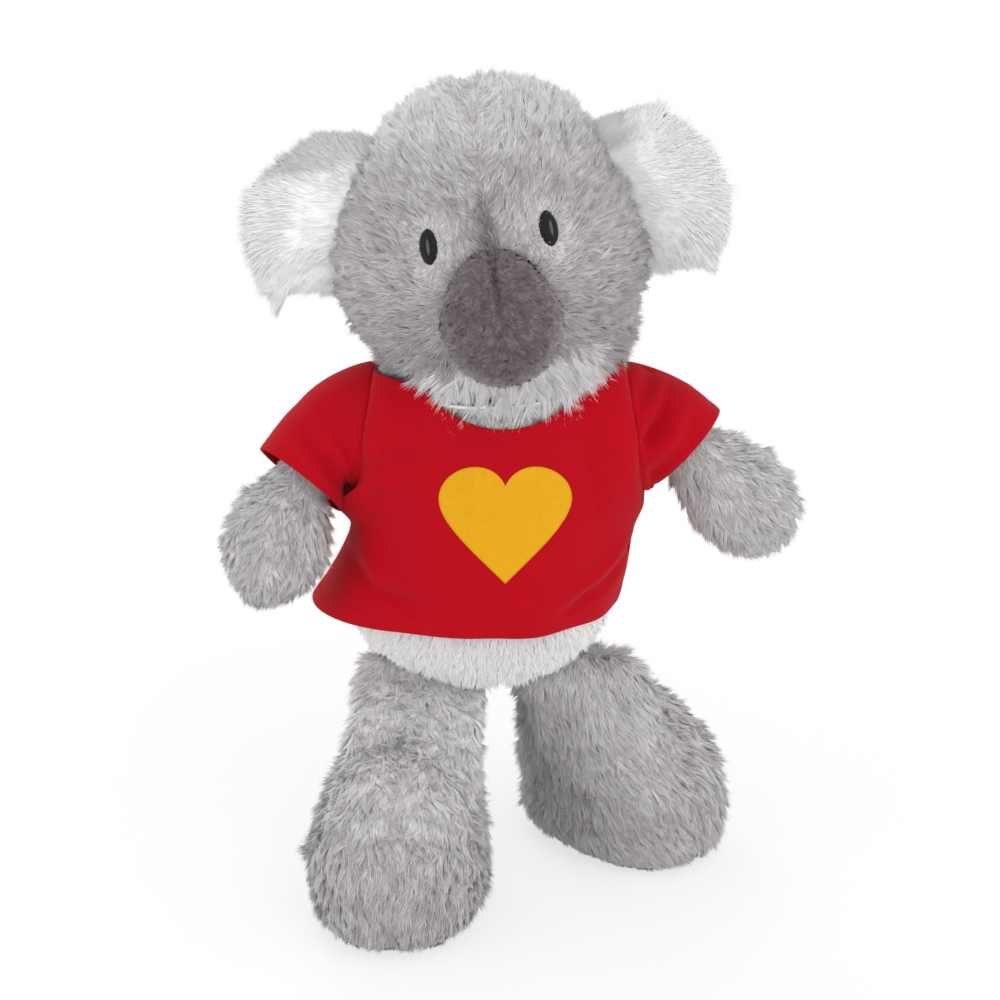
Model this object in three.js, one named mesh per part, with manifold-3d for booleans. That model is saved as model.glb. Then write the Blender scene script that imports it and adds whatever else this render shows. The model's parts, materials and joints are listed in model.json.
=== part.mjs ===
import * as THREE from "three";
import { mergeVertices } from "three/addons/utils/BufferGeometryUtils.js";
import Module from "manifold-3d";

// A stuffed plush koala in a jersey T-shirt, standing. Millimetres, +Z up, the face looks along -Y.
// Its own left side is +X. Heights are above the surface it stands on.

const wasm = await Module();
wasm.setup();

// Cloth, gaps and cutters
const plushThickness = 2;
const jerseyThickness = 1.6;
const printThickness = 0.6;
const seamGap = 0.3;
const seatGap = 0.3;
const runningGap = 0.4;
const soleCut = 0.5;
const cutterReach = 200;
const weldDistance = 1e-4;

// Facets: sides round a form, rings along it
const headSides = 24;
const headRings = 15;
const innerSides = 12;
const innerRings = 8;
const bandSides = 24;
const bandSteps = 3;
const noseSides = 18;
const noseRings = 9;
const earSides = 18;
const earRings = 7;
const capRings = 3;
const torsoSides = 24;
const torsoRings = 13;
const shirtRings = 10;
const armSides = 14;
const armRings = 7;
const innerTubeRings = 5;
const sleeveSides = 18;
const sleeveSteps = 5;
const footSides = 18;
const footRings = 9;
const tubeRings = 7;
const rodSides = 20;
const grooveSides = 16;
const patchSegments = 9;
const heartSegments = 6;

// Head: a ball that the neck holds, fuller at the cheeks and the crown
const headBall = 49;
const headSwell = 3.6;
const headPlace = { x: -1.5, y: -9, z: 201 };
const headRoll = THREE.MathUtils.degToRad(-9);
const headSwellShares = [0, 0, 0, 0.05, 0.7, 1, 0.75, 0.5, 0.45, 0.55, 0.75, 0.85];
const chinWidth = 50;
const chinTop = -27;
const chinBack = -8;

// Neck band between the head and the torso
const bandThickness = 2.4;
const bandInner = 15;
const bandOuter = 26;

// Nose
const noseHalfWidth = 18.6;
const noseHalfHeight = 21.6;
const noseHalfDepth = 19;
const nosePlace = { x: 0, y: -48, z: -11 };
const noseWidthShares = [1.03, 1.04, 1, 0.93, 0.86];
const velourThickness = 1.4;

// Eyes, embroidered, each with a paler highlight stitch
const eyeHalfWidth = 2.7;
const eyeHalfHeight = 4.9;
const eyeThickness = 0.9;
const eyeOut = 17.5;
const eyeUp = 11.5;
const eyeLean = THREE.MathUtils.degToRad(2);
const glintHalfWidth = 0.7;
const glintHalfHeight = 2.4;
const glintThickness = 0.5;

// Ears: two cloth halves, hinged along the root line
const earReach = { left: 20.5, right: 22.5 };
const earHalfLength = 28;
const earHalfThickness = 7.4;
const earRootRadius = 5.6;
const earRootHalfLength = 24;
const earRootRound = 2.6;
const earRound = 2.3;
const earThinning = 0.8;
const earNarrowing = 0.9;
const earFullShare = 0.5;
const earSink = 2.5;
const earDrop = { left: -5, right: -9 };
const earForward = { left: THREE.MathUtils.degToRad(24), right: THREE.MathUtils.degToRad(12) };
const earAround = { left: THREE.MathUtils.degToRad(16), right: THREE.MathUtils.degToRad(8) };
const earRise = { left: THREE.MathUtils.degToRad(15), right: THREE.MathUtils.degToRad(23) };

// Torso: a pear that leans a little to the toy's right at the seat
const torsoBottom = 62;
const torsoTop = 178;
const torsoHalfWidth = 42;
const torsoFront = 33;
const torsoBack = 28;
const torsoDepthPlace = -13;
const torsoLeanLow = -5.5;
const torsoLeanHigh = 1;
const torsoLeanEndShare = 0.7;
const torsoRoundLow = 3;
const torsoRoundHigh = 3.4;
const torsoWidthShares = [1.1, 1.09, 1, 0.99, 0.98];
const bellySeam = -6;

// Shirt
const shirtEase = 2.2;
const hemHeight = 88;
const flareHeight = 120;
const flareRound = 2;
const hemFlare = { right: 11.5, left: 0, front: 1, back: 3 };
const collarRadius = 34;
const collarPlace = { x: 0.5, y: -11, z: 160 };
const collarTilt = THREE.MathUtils.degToRad(24);
const collarEase = 1.2;

// Heart print
const heartHalfWidth = 20;
const heartTop = 12.5;
const heartNotch = 8;
const heartPoint = -22.5;
const heartPlace = { x: 1.6, z: 128 };
const heartPointShares = [0.5, 0.55];
const heartFlankShare = 0.2;
const heartCheekShare = 0.35;
const heartLobeShares = [0.25, 1.5];

// Shoulders and sleeves
const armholeRadius = 20.5;
const shoulderPlace = { x: 42.8, y: -14, z: 145 };
const shoulderTilt = THREE.MathUtils.degToRad(10);
const cuffRadius = 15.6;
const sleeveBendShare = 0.3;
const sleeveTurnRound = 1.6;
const cuffPlaces = {
  left: { out: 15, down: 6.5, droop: THREE.MathUtils.degToRad(42) },
  right: { out: 19.5, down: 17, droop: THREE.MathUtils.degToRad(52) },
};

// Arms: the bend and the tip of the paw, out and down from the shoulder, then swung forward about it
const armRootRadius = 9.5;
const armRootOut = 5.5;
const armHalfWidth = 18;
const armHalfDepth = 16;
const sleevedShares = [0.5, 0.51, 0.56, 0.63];
const pawShares = [0.63, 0.9, 1.03, 1.06, 1.06];
const pawEndShare = 0.3;
const pawRound = 2.2;
const armFlatShare = 0.5;
const tipInsetShare = 0.33;
const armBends = {
  left: { elbowOut: 20, elbowDown: 8, tipOut: 47.5, tipDown: 39, cuffShare: 0.32 },
  right: { elbowOut: 23.5, elbowDown: 12, tipOut: 32, tipDown: 57.5, cuffShare: 0.44 },
};
const armSwing = { left: THREE.MathUtils.degToRad(5), right: THREE.MathUtils.degToRad(25) };

// Hips and legs
const hipRadius = 8.6;
const hipPlace = { x: 25, y: -22, z: 64 };
const hipFacing = THREE.MathUtils.degToRad(9);
const legHalfWidth = 20.3;
const legHalfDepth = 19;
const legEnd = 22;
const legRound = 2.5;
const legTopRound = 6;
const legDepthShares = [1.05, 1.03, 1, 0.93, 0.8, 0.62, 0.46];
const legWidthShares = [1.2, 1.17, 1.12, 1.06, 1.01, 1, 1];
const footHalfLength = 37.5;
const footHalfWidth = 27;
const footWaist = 18;
const footRise = 33;
const footLengthRound = 2.3;
const footRiseRound = 2.2;
const footUnderRound = 5;
const footRound = { low: 4, high: 2.2 };
const footWidthShares = [0.9, 0.98, 1, 1.02, 1];
const footRiseShares = [0.95, 1.1, 1.14, 0.94, 0.66];
const footPlaces = {
  left: { x: 40, y: -6, toeOut: THREE.MathUtils.degToRad(42) },
  right: { x: -31, y: -55, toeOut: THREE.MathUtils.degToRad(3) },
};
const ankleBack = 13;

const sideSigns = { left: 1, right: -1 };

// Colours and finishes
const greyPlush = { color: 0x9c989a, roughness: 0.95, metalness: 0 };
const whitePlush = { color: 0xeeecea, roughness: 0.95, metalness: 0 };
const redJersey = { color: 0xb81121, roughness: 0.8, metalness: 0 };
const yellowPrint = { color: 0xecb216, roughness: 0.6, metalness: 0 };
const mauveVelour = { color: 0x75676b, roughness: 0.9, metalness: 0 };
const blackThread = { color: 0x101012, roughness: 0.5, metalness: 0 };
const greyThread = { color: 0x55555a, roughness: 0.5, metalness: 0 };
const paleFibre = { color: 0xf4f2ee, roughness: 1, metalness: 0 };
const seamCloth = { color: 0x8a8688, roughness: 0.95, metalness: 0 };

const xAxis = new THREE.Vector3(1, 0, 0);
const yAxis = new THREE.Vector3(0, 1, 0);
const zAxis = new THREE.Vector3(0, 0, 1);

// Solids and geometries

function solidOf(geometry) {
  const bare = new THREE.BufferGeometry();
  bare.setAttribute("position", geometry.getAttribute("position"));
  bare.setIndex(geometry.getIndex());
  const merged = mergeVertices(bare, weldDistance);
  return new wasm.Manifold(
    new wasm.Mesh({
      numProp: 3,
      vertProperties: merged.attributes.position.array,
      triVerts: new Uint32Array(merged.index.array),
    }),
  );
}

function geometryOf(solid) {
  const mesh = solid.getMesh();
  const geometry = new THREE.BufferGeometry();
  geometry.setAttribute("position", new THREE.BufferAttribute(mesh.vertProperties, 3));
  geometry.setIndex(new THREE.BufferAttribute(mesh.triVerts, 1));
  return geometry;
}

const placed = (geometry, matrix) => solidOf(geometry.applyMatrix4(matrix));

// A closed surface through rings of points, from its low end to its high end.
function closedSkin(rings, lowPoint, highPoint) {
  const sides = rings[0].length;
  const points = rings.flat().concat([lowPoint, highPoint]);
  const low = rings.length * sides;
  const high = low + 1;
  const faces = [];
  for (let j = 0; j < sides; j++) {
    const next = (j + 1) % sides;
    faces.push(low, next, j);
    for (let i = 0; i + 1 < rings.length; i++) {
      const here = i * sides;
      const above = here + sides;
      faces.push(here + j, here + next, above + next);
      faces.push(here + j, above + next, above + j);
    }
    const last = low - sides;
    faces.push(high, last + j, last + next);
  }
  const geometry = new THREE.BufferGeometry().setFromPoints(points);
  geometry.setIndex(faces);
  return geometry;
}

// One ring: four quarter ovals that share a centre; across and over are its two directions.
function oval(centre, across, over, half, sides, round = { low: 2, high: 2 }) {
  const ring = [];
  for (let j = 0; j < sides; j++) {
    const angle = (2 * Math.PI * j) / sides;
    const c = Math.cos(angle);
    const s = Math.sin(angle);
    const power = 2 / (s < 0 ? round.low : round.high);
    const a = Math.sign(c) * Math.abs(c) ** power * (c < 0 ? half.minus : half.plus);
    const b = Math.sign(s) * Math.abs(s) ** power * (s < 0 ? half.under : half.over);
    ring.push(centre.clone().addScaledVector(across, a).addScaledVector(over, b));
  }
  return ring;
}

const evenly = (half) => ({ plus: half, minus: half, over: half, under: half });

// A smooth curve through evenly spaced shares.
function curveOf(shares) {
  const curve = new THREE.SplineCurve(shares.map((share, i) => new THREE.Vector2(i, share)));
  return (s) => curve.getPoint(THREE.MathUtils.clamp(s, 0, 1)).y;
}

// How full a rounded form is at a share of its length: 0 at the ends, 1 at the middle.
function fullness(s, lowRound, highRound = lowRound) {
  const round = s < 0.5 ? lowRound : highRound;
  return Math.max(0, 1 - Math.abs(2 * s - 1) ** round) ** (1 / round);
}

const lengthShare = (i, count) => (1 - Math.cos((Math.PI * i) / count)) / 2;

// A radius whose flat facets stay outside the given one.
const outsideFacets = (radius, sides) => radius / Math.cos(Math.PI / sides) ** 2;

function ballAt(place, radius, sides) {
  const rings = sides / 2;
  const geometry = new THREE.SphereGeometry(radius, sides, rings);
  return placed(geometry, new THREE.Matrix4().makeTranslation(place.x, place.y, place.z));
}

// A half of space, as a large box: all that lies on the side that the direction points to.
function beyond(point, direction, gap = 0) {
  const turn = new THREE.Quaternion().setFromUnitVectors(zAxis, direction.clone().normalize());
  const centre = point.clone().addScaledVector(direction.clone().normalize(), cutterReach + gap);
  const matrix = new THREE.Matrix4().compose(centre, turn, new THREE.Vector3(1, 1, 1));
  return placed(new THREE.BoxGeometry(2 * cutterReach, 2 * cutterReach, 2 * cutterReach), matrix);
}

function rodAlong(start, direction, length, radius, sides) {
  const turn = new THREE.Quaternion().setFromUnitVectors(yAxis, direction.clone().normalize());
  const middle = start.clone().addScaledVector(direction.clone().normalize(), length / 2);
  const matrix = new THREE.Matrix4().compose(middle, turn, new THREE.Vector3(1, 1, 1));
  return placed(new THREE.CylinderGeometry(radius, radius, length, sides), matrix);
}

// The two sides of a cloth cover, parted along a sewn seam.
function halves(cover, point, direction) {
  return [
    cover.intersect(beyond(point, direction, seamGap / 2)),
    cover.intersect(beyond(point, direction.clone().negate(), seamGap / 2)),
  ];
}

function meshOf(name, solid, look) {
  const mesh = new THREE.Mesh(geometryOf(solid), new THREE.MeshStandardMaterial(look));
  mesh.name = name;
  return mesh;
}

const vectorOf = (place) => new THREE.Vector3(place.x, place.y, place.z);
const headCentre = vectorOf(headPlace);

// Head

const headSwellAt = curveOf(headSwellShares);

function headForm(grow, sides, count) {
  const rings = [];
  for (let i = 1; i < count; i++) {
    const rise = -Math.PI / 2 + (Math.PI * i) / count;
    const radius = headBall + headSwell * headSwellAt(i / count) + grow;
    const centre = new THREE.Vector3(0, 0, radius * Math.sin(rise));
    rings.push(oval(centre, xAxis, yAxis, evenly(radius * Math.cos(rise)), sides));
  }
  const low = headBall + headSwell * headSwellAt(0) + grow;
  const high = headBall + headSwell * headSwellAt(1) + grow;
  return solidOf(closedSkin(rings, new THREE.Vector3(0, 0, -low), new THREE.Vector3(0, 0, high)));
}

// A tall oval bar along Y, to cut a patch out of a cover.
function ovalBar(place, halfWidth, halfHeight, lean) {
  const shape = new THREE.Shape().absellipse(0, 0, halfWidth, halfHeight, 0, 2 * Math.PI);
  const options = { depth: headBall, bevelEnabled: false, curveSegments: patchSegments };
  const bar = new THREE.ExtrudeGeometry(shape, options);
  const turn = new THREE.Quaternion()
    .setFromAxisAngle(yAxis, lean)
    .multiply(new THREE.Quaternion().setFromAxisAngle(xAxis, Math.PI / 2));
  const matrix = new THREE.Matrix4().compose(vectorOf(place), turn, new THREE.Vector3(1, 1, 1));
  return placed(bar, matrix);
}

// A thin patch that lies on a form, given the form at a growth.
function patchOn(formAt, bar, lift, thickness) {
  return bar.intersect(formAt(lift + thickness)).subtract(formAt(lift));
}

const headAt = (grow) => headForm(grow, headSides, headRings);

function noseForm(inset) {
  const widthAt = curveOf(noseWidthShares);
  const rings = [];
  const height = noseHalfHeight - inset;
  for (let i = 1; i < noseRings; i++) {
    const s = lengthShare(i, noseRings);
    const full = fullness(s, 2);
    const width = (noseHalfWidth - inset) * widthAt(s) * full;
    const depth = (noseHalfDepth - inset) * widthAt(s) * full;
    const centre = vectorOf(nosePlace).addScaledVector(zAxis, height * (2 * s - 1));
    const half = { plus: width, minus: width, over: depth, under: depth };
    rings.push(oval(centre, xAxis, yAxis, half, noseSides));
  }
  const low = vectorOf(nosePlace).addScaledVector(zAxis, -height);
  const high = vectorOf(nosePlace).addScaledVector(zAxis, height);
  return solidOf(closedSkin(rings, low, high));
}

// Ear, in its own frame: out along +X from the root line, which runs along Z; its front looks along -Y.
function earForm(side) {
  const rings = [];
  const rootRound = { low: earRootRound, high: earRootRound };
  const lobeRound = { low: earRound, high: earRound };
  for (let i = 1; i <= capRings; i++) {
    const angle = (Math.PI / 2) * (i / capRings);
    const centre = new THREE.Vector3(-earRootRadius * Math.cos(angle), 0, 0);
    const thick = earRootRadius * Math.sin(angle);
    const long = earRootHalfLength - earRootRadius + thick;
    const half = { plus: thick, minus: thick, over: long, under: long };
    rings.push(oval(centre, yAxis, zAxis, half, earSides, rootRound));
  }
  for (let i = 1; i < earRings; i++) {
    const angle = (Math.PI / 2) * (i / earRings);
    const out = Math.sin(angle);
    const swell = Math.sin(Math.min(1, out / earFullShare) * (Math.PI / 2));
    const thin = Math.cos(angle) ** earThinning;
    const narrow = Math.cos(angle) ** earNarrowing;
    const thick = THREE.MathUtils.lerp(earRootRadius, earHalfThickness, swell) * thin;
    const long = THREE.MathUtils.lerp(earRootHalfLength, earHalfLength, swell) * narrow;
    const centre = new THREE.Vector3(earReach[side] * out, 0, earDrop[side] * swell);
    const half = { plus: thick, minus: thick, over: long, under: long };
    rings.push(oval(centre, yAxis, zAxis, half, earSides, lobeRound));
  }
  const low = new THREE.Vector3(-earRootRadius, 0, 0);
  const high = new THREE.Vector3(earReach[side], 0, earDrop[side]);
  return solidOf(closedSkin(rings, low, high));
}

function earMatrix(side) {
  const rise = earRise[side];
  const sign = sideSigns[side];
  const out = new THREE.Vector3(sign * Math.cos(rise), 0, Math.sin(rise));
  const along = new THREE.Vector3(-sign * Math.sin(rise), 0, Math.cos(rise));
  const root = out.clone()
    .multiplyScalar(headBall + headSwell + earRootRadius - earSink)
    .applyAxisAngle(along, -sign * earAround[side]);
  const back = new THREE.Vector3().crossVectors(along, out);
  return { root, along, basis: new THREE.Matrix4().makeBasis(out, back, along) };
}

const armholeCentre = (side) => new THREE.Vector3(
  sideSigns[side] * shoulderPlace.x, shoulderPlace.y, shoulderPlace.z);
const armholeAxis = (side) => new THREE.Vector3(
  sideSigns[side] * Math.cos(shoulderTilt), 0, Math.sin(shoulderTilt));
const hipCentre = (side) => new THREE.Vector3(sideSigns[side] * hipPlace.x, hipPlace.y, hipPlace.z);

// Torso

const torsoWidthAt = curveOf(torsoWidthShares);

function torsoSection(height, grow) {
  const low = torsoBottom - grow;
  const high = torsoTop + grow;
  const s = THREE.MathUtils.clamp((height - low) / (high - low), 0, 1);
  const full = fullness(s, torsoRoundLow, torsoRoundHigh);
  const share = torsoWidthAt(s);
  const lean = THREE.MathUtils.lerp(torsoLeanLow, torsoLeanHigh, Math.min(1, s / torsoLeanEndShare));
  const centre = new THREE.Vector3(lean, torsoDepthPlace, height);
  const width = (torsoHalfWidth * share + grow) * full;
  const half = {
    plus: width,
    minus: width,
    over: (torsoBack * share + grow) * full,
    under: (torsoFront * share + grow) * full,
  };
  return { centre, half };
}

function torsoForm(grow, sides, count) {
  const low = torsoBottom - grow;
  const high = torsoTop + grow;
  const rings = [];
  for (let i = 1; i < count; i++) {
    const { centre, half } = torsoSection(THREE.MathUtils.lerp(low, high, lengthShare(i, count)), grow);
    rings.push(oval(centre, xAxis, yAxis, half, sides));
  }
  const lowPoint = torsoSection(low, grow).centre;
  const highPoint = torsoSection(high, grow).centre;
  return solidOf(closedSkin(rings, lowPoint, highPoint));
}

// Shirt body: the torso's form, wider by the ease, flaring to a flat hem.
function shirtForm(grow, under) {
  const high = torsoTop + shirtEase + grow;
  const rings = [];
  for (let i = 0; i < shirtRings; i++) {
    const height = THREE.MathUtils.lerp(hemHeight, high, Math.sin((Math.PI / 2) * (i / shirtRings)));
    const { centre, half } = torsoSection(height, shirtEase + grow);
    const flare = Math.max(0, (flareHeight - height) / (flareHeight - hemHeight)) ** flareRound;
    half.plus += hemFlare.left * flare;
    half.minus += hemFlare.right * flare;
    half.over += hemFlare.back * flare;
    half.under += hemFlare.front * flare;
    rings.push(oval(centre, xAxis, yAxis, half, torsoSides));
  }
  if (under) rings.unshift(rings[0].map((point) => point.clone().addScaledVector(zAxis, -under)));
  const lowPoint = torsoSection(hemHeight, 0).centre.addScaledVector(zAxis, -under);
  return solidOf(closedSkin(rings, lowPoint, torsoSection(high, grow).centre.setZ(high)));
}

// Arms and sleeves, in a frame at the shoulder with the toy's own directions

function armCurve(side) {
  const sign = sideSigns[side];
  const bend = armBends[side];
  const root = armholeAxis(side).multiplyScalar(armRootOut);
  const elbow = new THREE.Vector3(sign * bend.elbowOut, 0, -bend.elbowDown);
  const tip = new THREE.Vector3(sign * bend.tipOut, 0, -bend.tipDown);
  return new THREE.QuadraticBezierCurve3(root, elbow, tip);
}

// Directions across a limb at a share of its run: across lies in the plane of its bend.
function armFrame(curve, s) {
  const tangent = curve.getTangent(s);
  const bendNormal = new THREE.Vector3()
    .crossVectors(curve.v1.clone().sub(curve.v0), curve.v2.clone().sub(curve.v0))
    .normalize();
  const across = new THREE.Vector3().crossVectors(bendNormal, tangent).normalize();
  return { tangent, across, over: new THREE.Vector3().crossVectors(tangent, across) };
}

function armForm(side, inset, sides, count) {
  const curve = armCurve(side);
  const { cuffShare } = armBends[side];
  const sleevedAt = curveOf(sleevedShares);
  const pawAt = curveOf(pawShares);
  const widthAt = (s) => s < cuffShare ? sleevedAt(s / cuffShare) : pawAt((s - cuffShare) / (1 - cuffShare));
  const endShare = 1 - (inset / armHalfWidth) * tipInsetShare;
  const rings = [];
  const rootRadius = armRootRadius - inset;
  const start = armFrame(curve, 0);
  for (let i = 1; i < capRings; i++) {
    const angle = (Math.PI / 2) * (i / capRings);
    const centre = curve.v0.clone().addScaledVector(start.tangent, -rootRadius * Math.cos(angle));
    rings.push(oval(centre, start.across, start.over, evenly(rootRadius * Math.sin(angle)), sides));
  }
  for (let i = 0; i < count; i++) {
    const s = Math.sin((Math.PI / 2) * (i / count)) * endShare;
    const { across, over } = armFrame(curve, s);
    const tipShare = Math.max(0, (s - 1 + pawEndShare) / pawEndShare);
    const end = Math.sqrt(Math.max(0, 1 - tipShare ** pawRound));
    const width = (armHalfWidth * widthAt(s) - inset) * end;
    const depthShare = THREE.MathUtils.lerp(1, armHalfDepth / armHalfWidth, Math.min(1, s / armFlatShare));
    const depth = (armHalfWidth * widthAt(s) * depthShare - inset) * end;
    const half = { plus: width, minus: width, over: depth, under: depth };
    rings.push(oval(curve.getPoint(s), across, over, half, sides));
  }
  const low = curve.v0.clone().addScaledVector(start.tangent, -rootRadius);
  return solidOf(closedSkin(rings, low, curve.getPoint(endShare)));
}

// A sleeve from the round armhole to the cuff round the arm.
function sleeveForm(side, grow, reach) {
  const axis = armholeAxis(side);
  const sign = sideSigns[side];
  const cuff = cuffPlaces[side];
  const cuffCentre = new THREE.Vector3(sign * cuff.out, 0, -cuff.down);
  const cuffDirection = new THREE.Vector3(sign * Math.cos(cuff.droop), 0, -Math.sin(cuff.droop));
  const startTurn = new THREE.Quaternion().setFromUnitVectors(zAxis, axis);
  const swing = new THREE.Quaternion().setFromUnitVectors(axis, cuffDirection);
  const rings = [];
  const middle = axis.clone().multiplyScalar(cuffCentre.length() * sleeveBendShare);
  const route = new THREE.QuadraticBezierCurve3(
    axis.clone().multiplyScalar(runningGap / 2), middle, cuffCentre);
  for (let i = 0; i <= sleeveSteps; i++) {
    const s = i / sleeveSteps;
    const turn = new THREE.Quaternion().slerp(swing, s ** sleeveTurnRound).multiply(startTurn);
    const across = xAxis.clone().applyQuaternion(turn);
    const over = yAxis.clone().applyQuaternion(turn);
    const radius = THREE.MathUtils.lerp(armholeRadius, cuffRadius, s) + grow;
    rings.push(oval(route.getPoint(s), across, over, evenly(radius), sleeveSides));
  }
  if (reach) {
    rings.unshift(rings[0].map((point) => point.clone().addScaledVector(axis, -reach)));
    rings.push(rings[rings.length - 1].map((point) => point.clone().addScaledVector(cuffDirection, reach)));
  }
  const low = route.getPoint(0).addScaledVector(axis, -reach);
  const high = route.getPoint(1).addScaledVector(cuffDirection, reach);
  return solidOf(closedSkin(rings, low, high));
}

// Legs, in a frame at the hip with the toy's own directions

function footFrame(side) {
  const place = footPlaces[side];
  const toe = new THREE.Vector3(sideSigns[side] * Math.sin(place.toeOut), -Math.cos(place.toeOut), 0);
  const centre = new THREE.Vector3(place.x, place.y, footWaist - soleCut).sub(hipCentre(side));
  return { toe, centre, across: new THREE.Vector3().crossVectors(zAxis, toe) };
}

function footForm(side, inset, sides, count) {
  const { toe, centre, across } = footFrame(side);
  const widthAt = curveOf(footWidthShares);
  const riseAt = curveOf(footRiseShares);
  const rings = [];
  const length = footHalfLength - inset;
  for (let i = 1; i < count; i++) {
    const s = lengthShare(i, count);
    const width = (footHalfWidth * widthAt(s) - inset) * fullness(s, footLengthRound);
    const half = {
      plus: width,
      minus: width,
      over: (footRise * riseAt(s) - inset) * fullness(s, footRiseRound),
      under: (footWaist - inset) * fullness(s, footUnderRound),
    };
    const middle = centre.clone().addScaledVector(toe, length * (2 * s - 1));
    rings.push(oval(middle, across, zAxis, half, sides, footRound));
  }
  const heel = centre.clone().addScaledVector(toe, -length);
  return solidOf(closedSkin(rings, heel, centre.clone().addScaledVector(toe, length)));
}

function legTube(side, inset, sides, count) {
  const { toe, centre } = footFrame(side);
  const ankle = centre.clone().addScaledVector(toe, -ankleBack);
  ankle.z = legEnd - hipPlace.z;
  const depthAt = curveOf(legDepthShares);
  const widthAt = curveOf(legWidthShares);
  const round = { low: legRound, high: legRound };
  const rings = [];
  const low = ankle.z + inset;
  for (let i = 0; i < count; i++) {
    const s = Math.sin((Math.PI / 2) * (i / count));
    const centreAt = ankle.clone().multiplyScalar(1 - s);
    centreAt.z = low * (1 - s);
    const width = legHalfWidth * widthAt(s) - inset;
    const depth = THREE.MathUtils.lerp(legHalfDepth * depthAt(s), hipRadius, s ** legTopRound) - inset;
    const half = { plus: width, minus: width, over: depth, under: depth };
    rings.push(oval(centreAt, xAxis, yAxis, half, sides, round));
  }
  const radius = hipRadius - inset;
  for (let i = 0; i < capRings; i++) {
    const angle = (Math.PI / 2) * (i / capRings);
    const width = legHalfWidth - hipRadius + radius * Math.cos(angle);
    const depth = radius * Math.cos(angle);
    const half = { plus: width, minus: width, over: depth, under: depth };
    const centreAt = new THREE.Vector3(0, 0, radius * Math.sin(angle));
    rings.push(oval(centreAt, xAxis, yAxis, half, sides, round));
  }
  const lowPoint = ankle.clone().setZ(low);
  return solidOf(closedSkin(rings, lowPoint, new THREE.Vector3(0, 0, radius)));
}

const outerLeg = (side) =>
  footForm(side, 0, footSides, footRings).add(legTube(side, 0, footSides, tubeRings));

const innerLeg = (side, inset) =>
  footForm(side, inset, innerSides, innerRings).add(legTube(side, inset, innerSides, innerTubeRings));

// Assembly

const toy = new THREE.Group();

// Neck band
const bandInside = (headBall + seamGap) / Math.cos(Math.PI / bandSides);
const bandOutside = bandInside + bandThickness;
const dishRadius = outsideFacets(bandOutside + runningGap, bandSides);
const neck = new THREE.Group();
neck.position.copy(headCentre);
toy.add(neck);
{
  const start = Math.asin(bandInner / bandInside);
  const end = Math.asin(bandOuter / bandInside);
  const profile = [];
  for (let i = 0; i <= bandSteps; i++) {
    const angle = THREE.MathUtils.lerp(start, end, i / bandSteps);
    profile.push(new THREE.Vector2(bandOutside * Math.sin(angle), -bandOutside * Math.cos(angle)));
  }
  for (let i = bandSteps; i >= 0; i--) {
    const angle = THREE.MathUtils.lerp(start, end, i / bandSteps);
    profile.push(new THREE.Vector2(bandInside * Math.sin(angle), -bandInside * Math.cos(angle)));
  }
  profile.push(profile[0].clone());
  const ring = new THREE.LatheGeometry(profile, bandSides);
  const band = placed(ring, new THREE.Matrix4().makeRotationX(Math.PI / 2));
  neck.add(meshOf("neck_seam_band", band, seamCloth));
}

// Head group
const head = new THREE.Group();
head.rotation.y = headRoll;
neck.add(head);
{
  const earGrooves = ["left", "right"].map((side) => {
    const { root, along } = earMatrix(side);
    const length = 2 * (earRootHalfLength + runningGap);
    const start = root.clone().addScaledVector(along, -length / 2);
    const radius = outsideFacets(earRootRadius + runningGap, grooveSides);
    return rodAlong(start, along, length, radius, grooveSides);
  });
  const grooved = (solid) => earGrooves.reduce((rest, groove) => rest.subtract(groove), solid);
  const outer = headForm(0, headSides, headRings);
  const cover = grooved(outer.subtract(headForm(-plushThickness, innerSides, innerRings)));
  const chinTool = (gap) => {
    const box = new THREE.BoxGeometry(chinWidth + gap, 2 * headBall + gap, headBall + gap);
    const matrix = new THREE.Matrix4().makeTranslation(0, chinBack - headBall, chinTop - headBall / 2);
    return placed(box, matrix);
  };
  const chin = cover.intersect(chinTool(-seamGap));
  const [leftPanel, rightPanel] = halves(cover.subtract(chinTool(seamGap)), new THREE.Vector3(), xAxis);
  head.add(meshOf("head_left_panel", leftPanel, greyPlush));
  head.add(meshOf("head_right_panel", rightPanel, greyPlush));
  head.add(meshOf("chin_panel", chin, whitePlush));
  const stuffing = grooved(headForm(-plushThickness - seatGap, innerSides, innerRings));
  head.add(meshOf("head_stuffing", stuffing, paleFibre));

  const seat = headAt(seatGap);
  const noseCover = noseForm(0).subtract(noseForm(velourThickness)).subtract(seat);
  head.add(meshOf("nose_cover", noseCover, mauveVelour));
  head.add(meshOf("nose_stuffing", noseForm(velourThickness + seatGap).subtract(seat), paleFibre));

  for (const side of ["left", "right"]) {
    const place = { x: sideSigns[side] * eyeOut, y: 0, z: eyeUp };
    const lean = sideSigns[side] * eyeLean;
    const eye = patchOn(headAt, ovalBar(place, eyeHalfWidth, eyeHalfHeight, lean), seatGap, eyeThickness);
    head.add(meshOf("eye_" + side, eye, blackThread));
    const glintBar = ovalBar(place, glintHalfWidth, glintHalfHeight, lean);
    const glint = patchOn(headAt, glintBar, 2 * seatGap + eyeThickness, glintThickness);
    head.add(meshOf("eye_glint_" + side, glint, greyThread));
  }

  for (const side of ["left", "right"]) {
    const { root, basis } = earMatrix(side);
    const ear = new THREE.Group();
    ear.position.copy(root);
    const turn = new THREE.Matrix4()
      .makeRotationZ(sideSigns[side] * -earForward[side])
      .premultiply(basis);
    ear.quaternion.setFromRotationMatrix(turn);
    const form = earForm(side);
    const [back, front] = halves(form, new THREE.Vector3(), yAxis);
    ear.add(meshOf("ear_" + side + "_back", side === "left" ? back : front, greyPlush));
    ear.add(meshOf("ear_" + side + "_front", side === "left" ? front : back, whitePlush));
    head.add(ear);
  }
}

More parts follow.
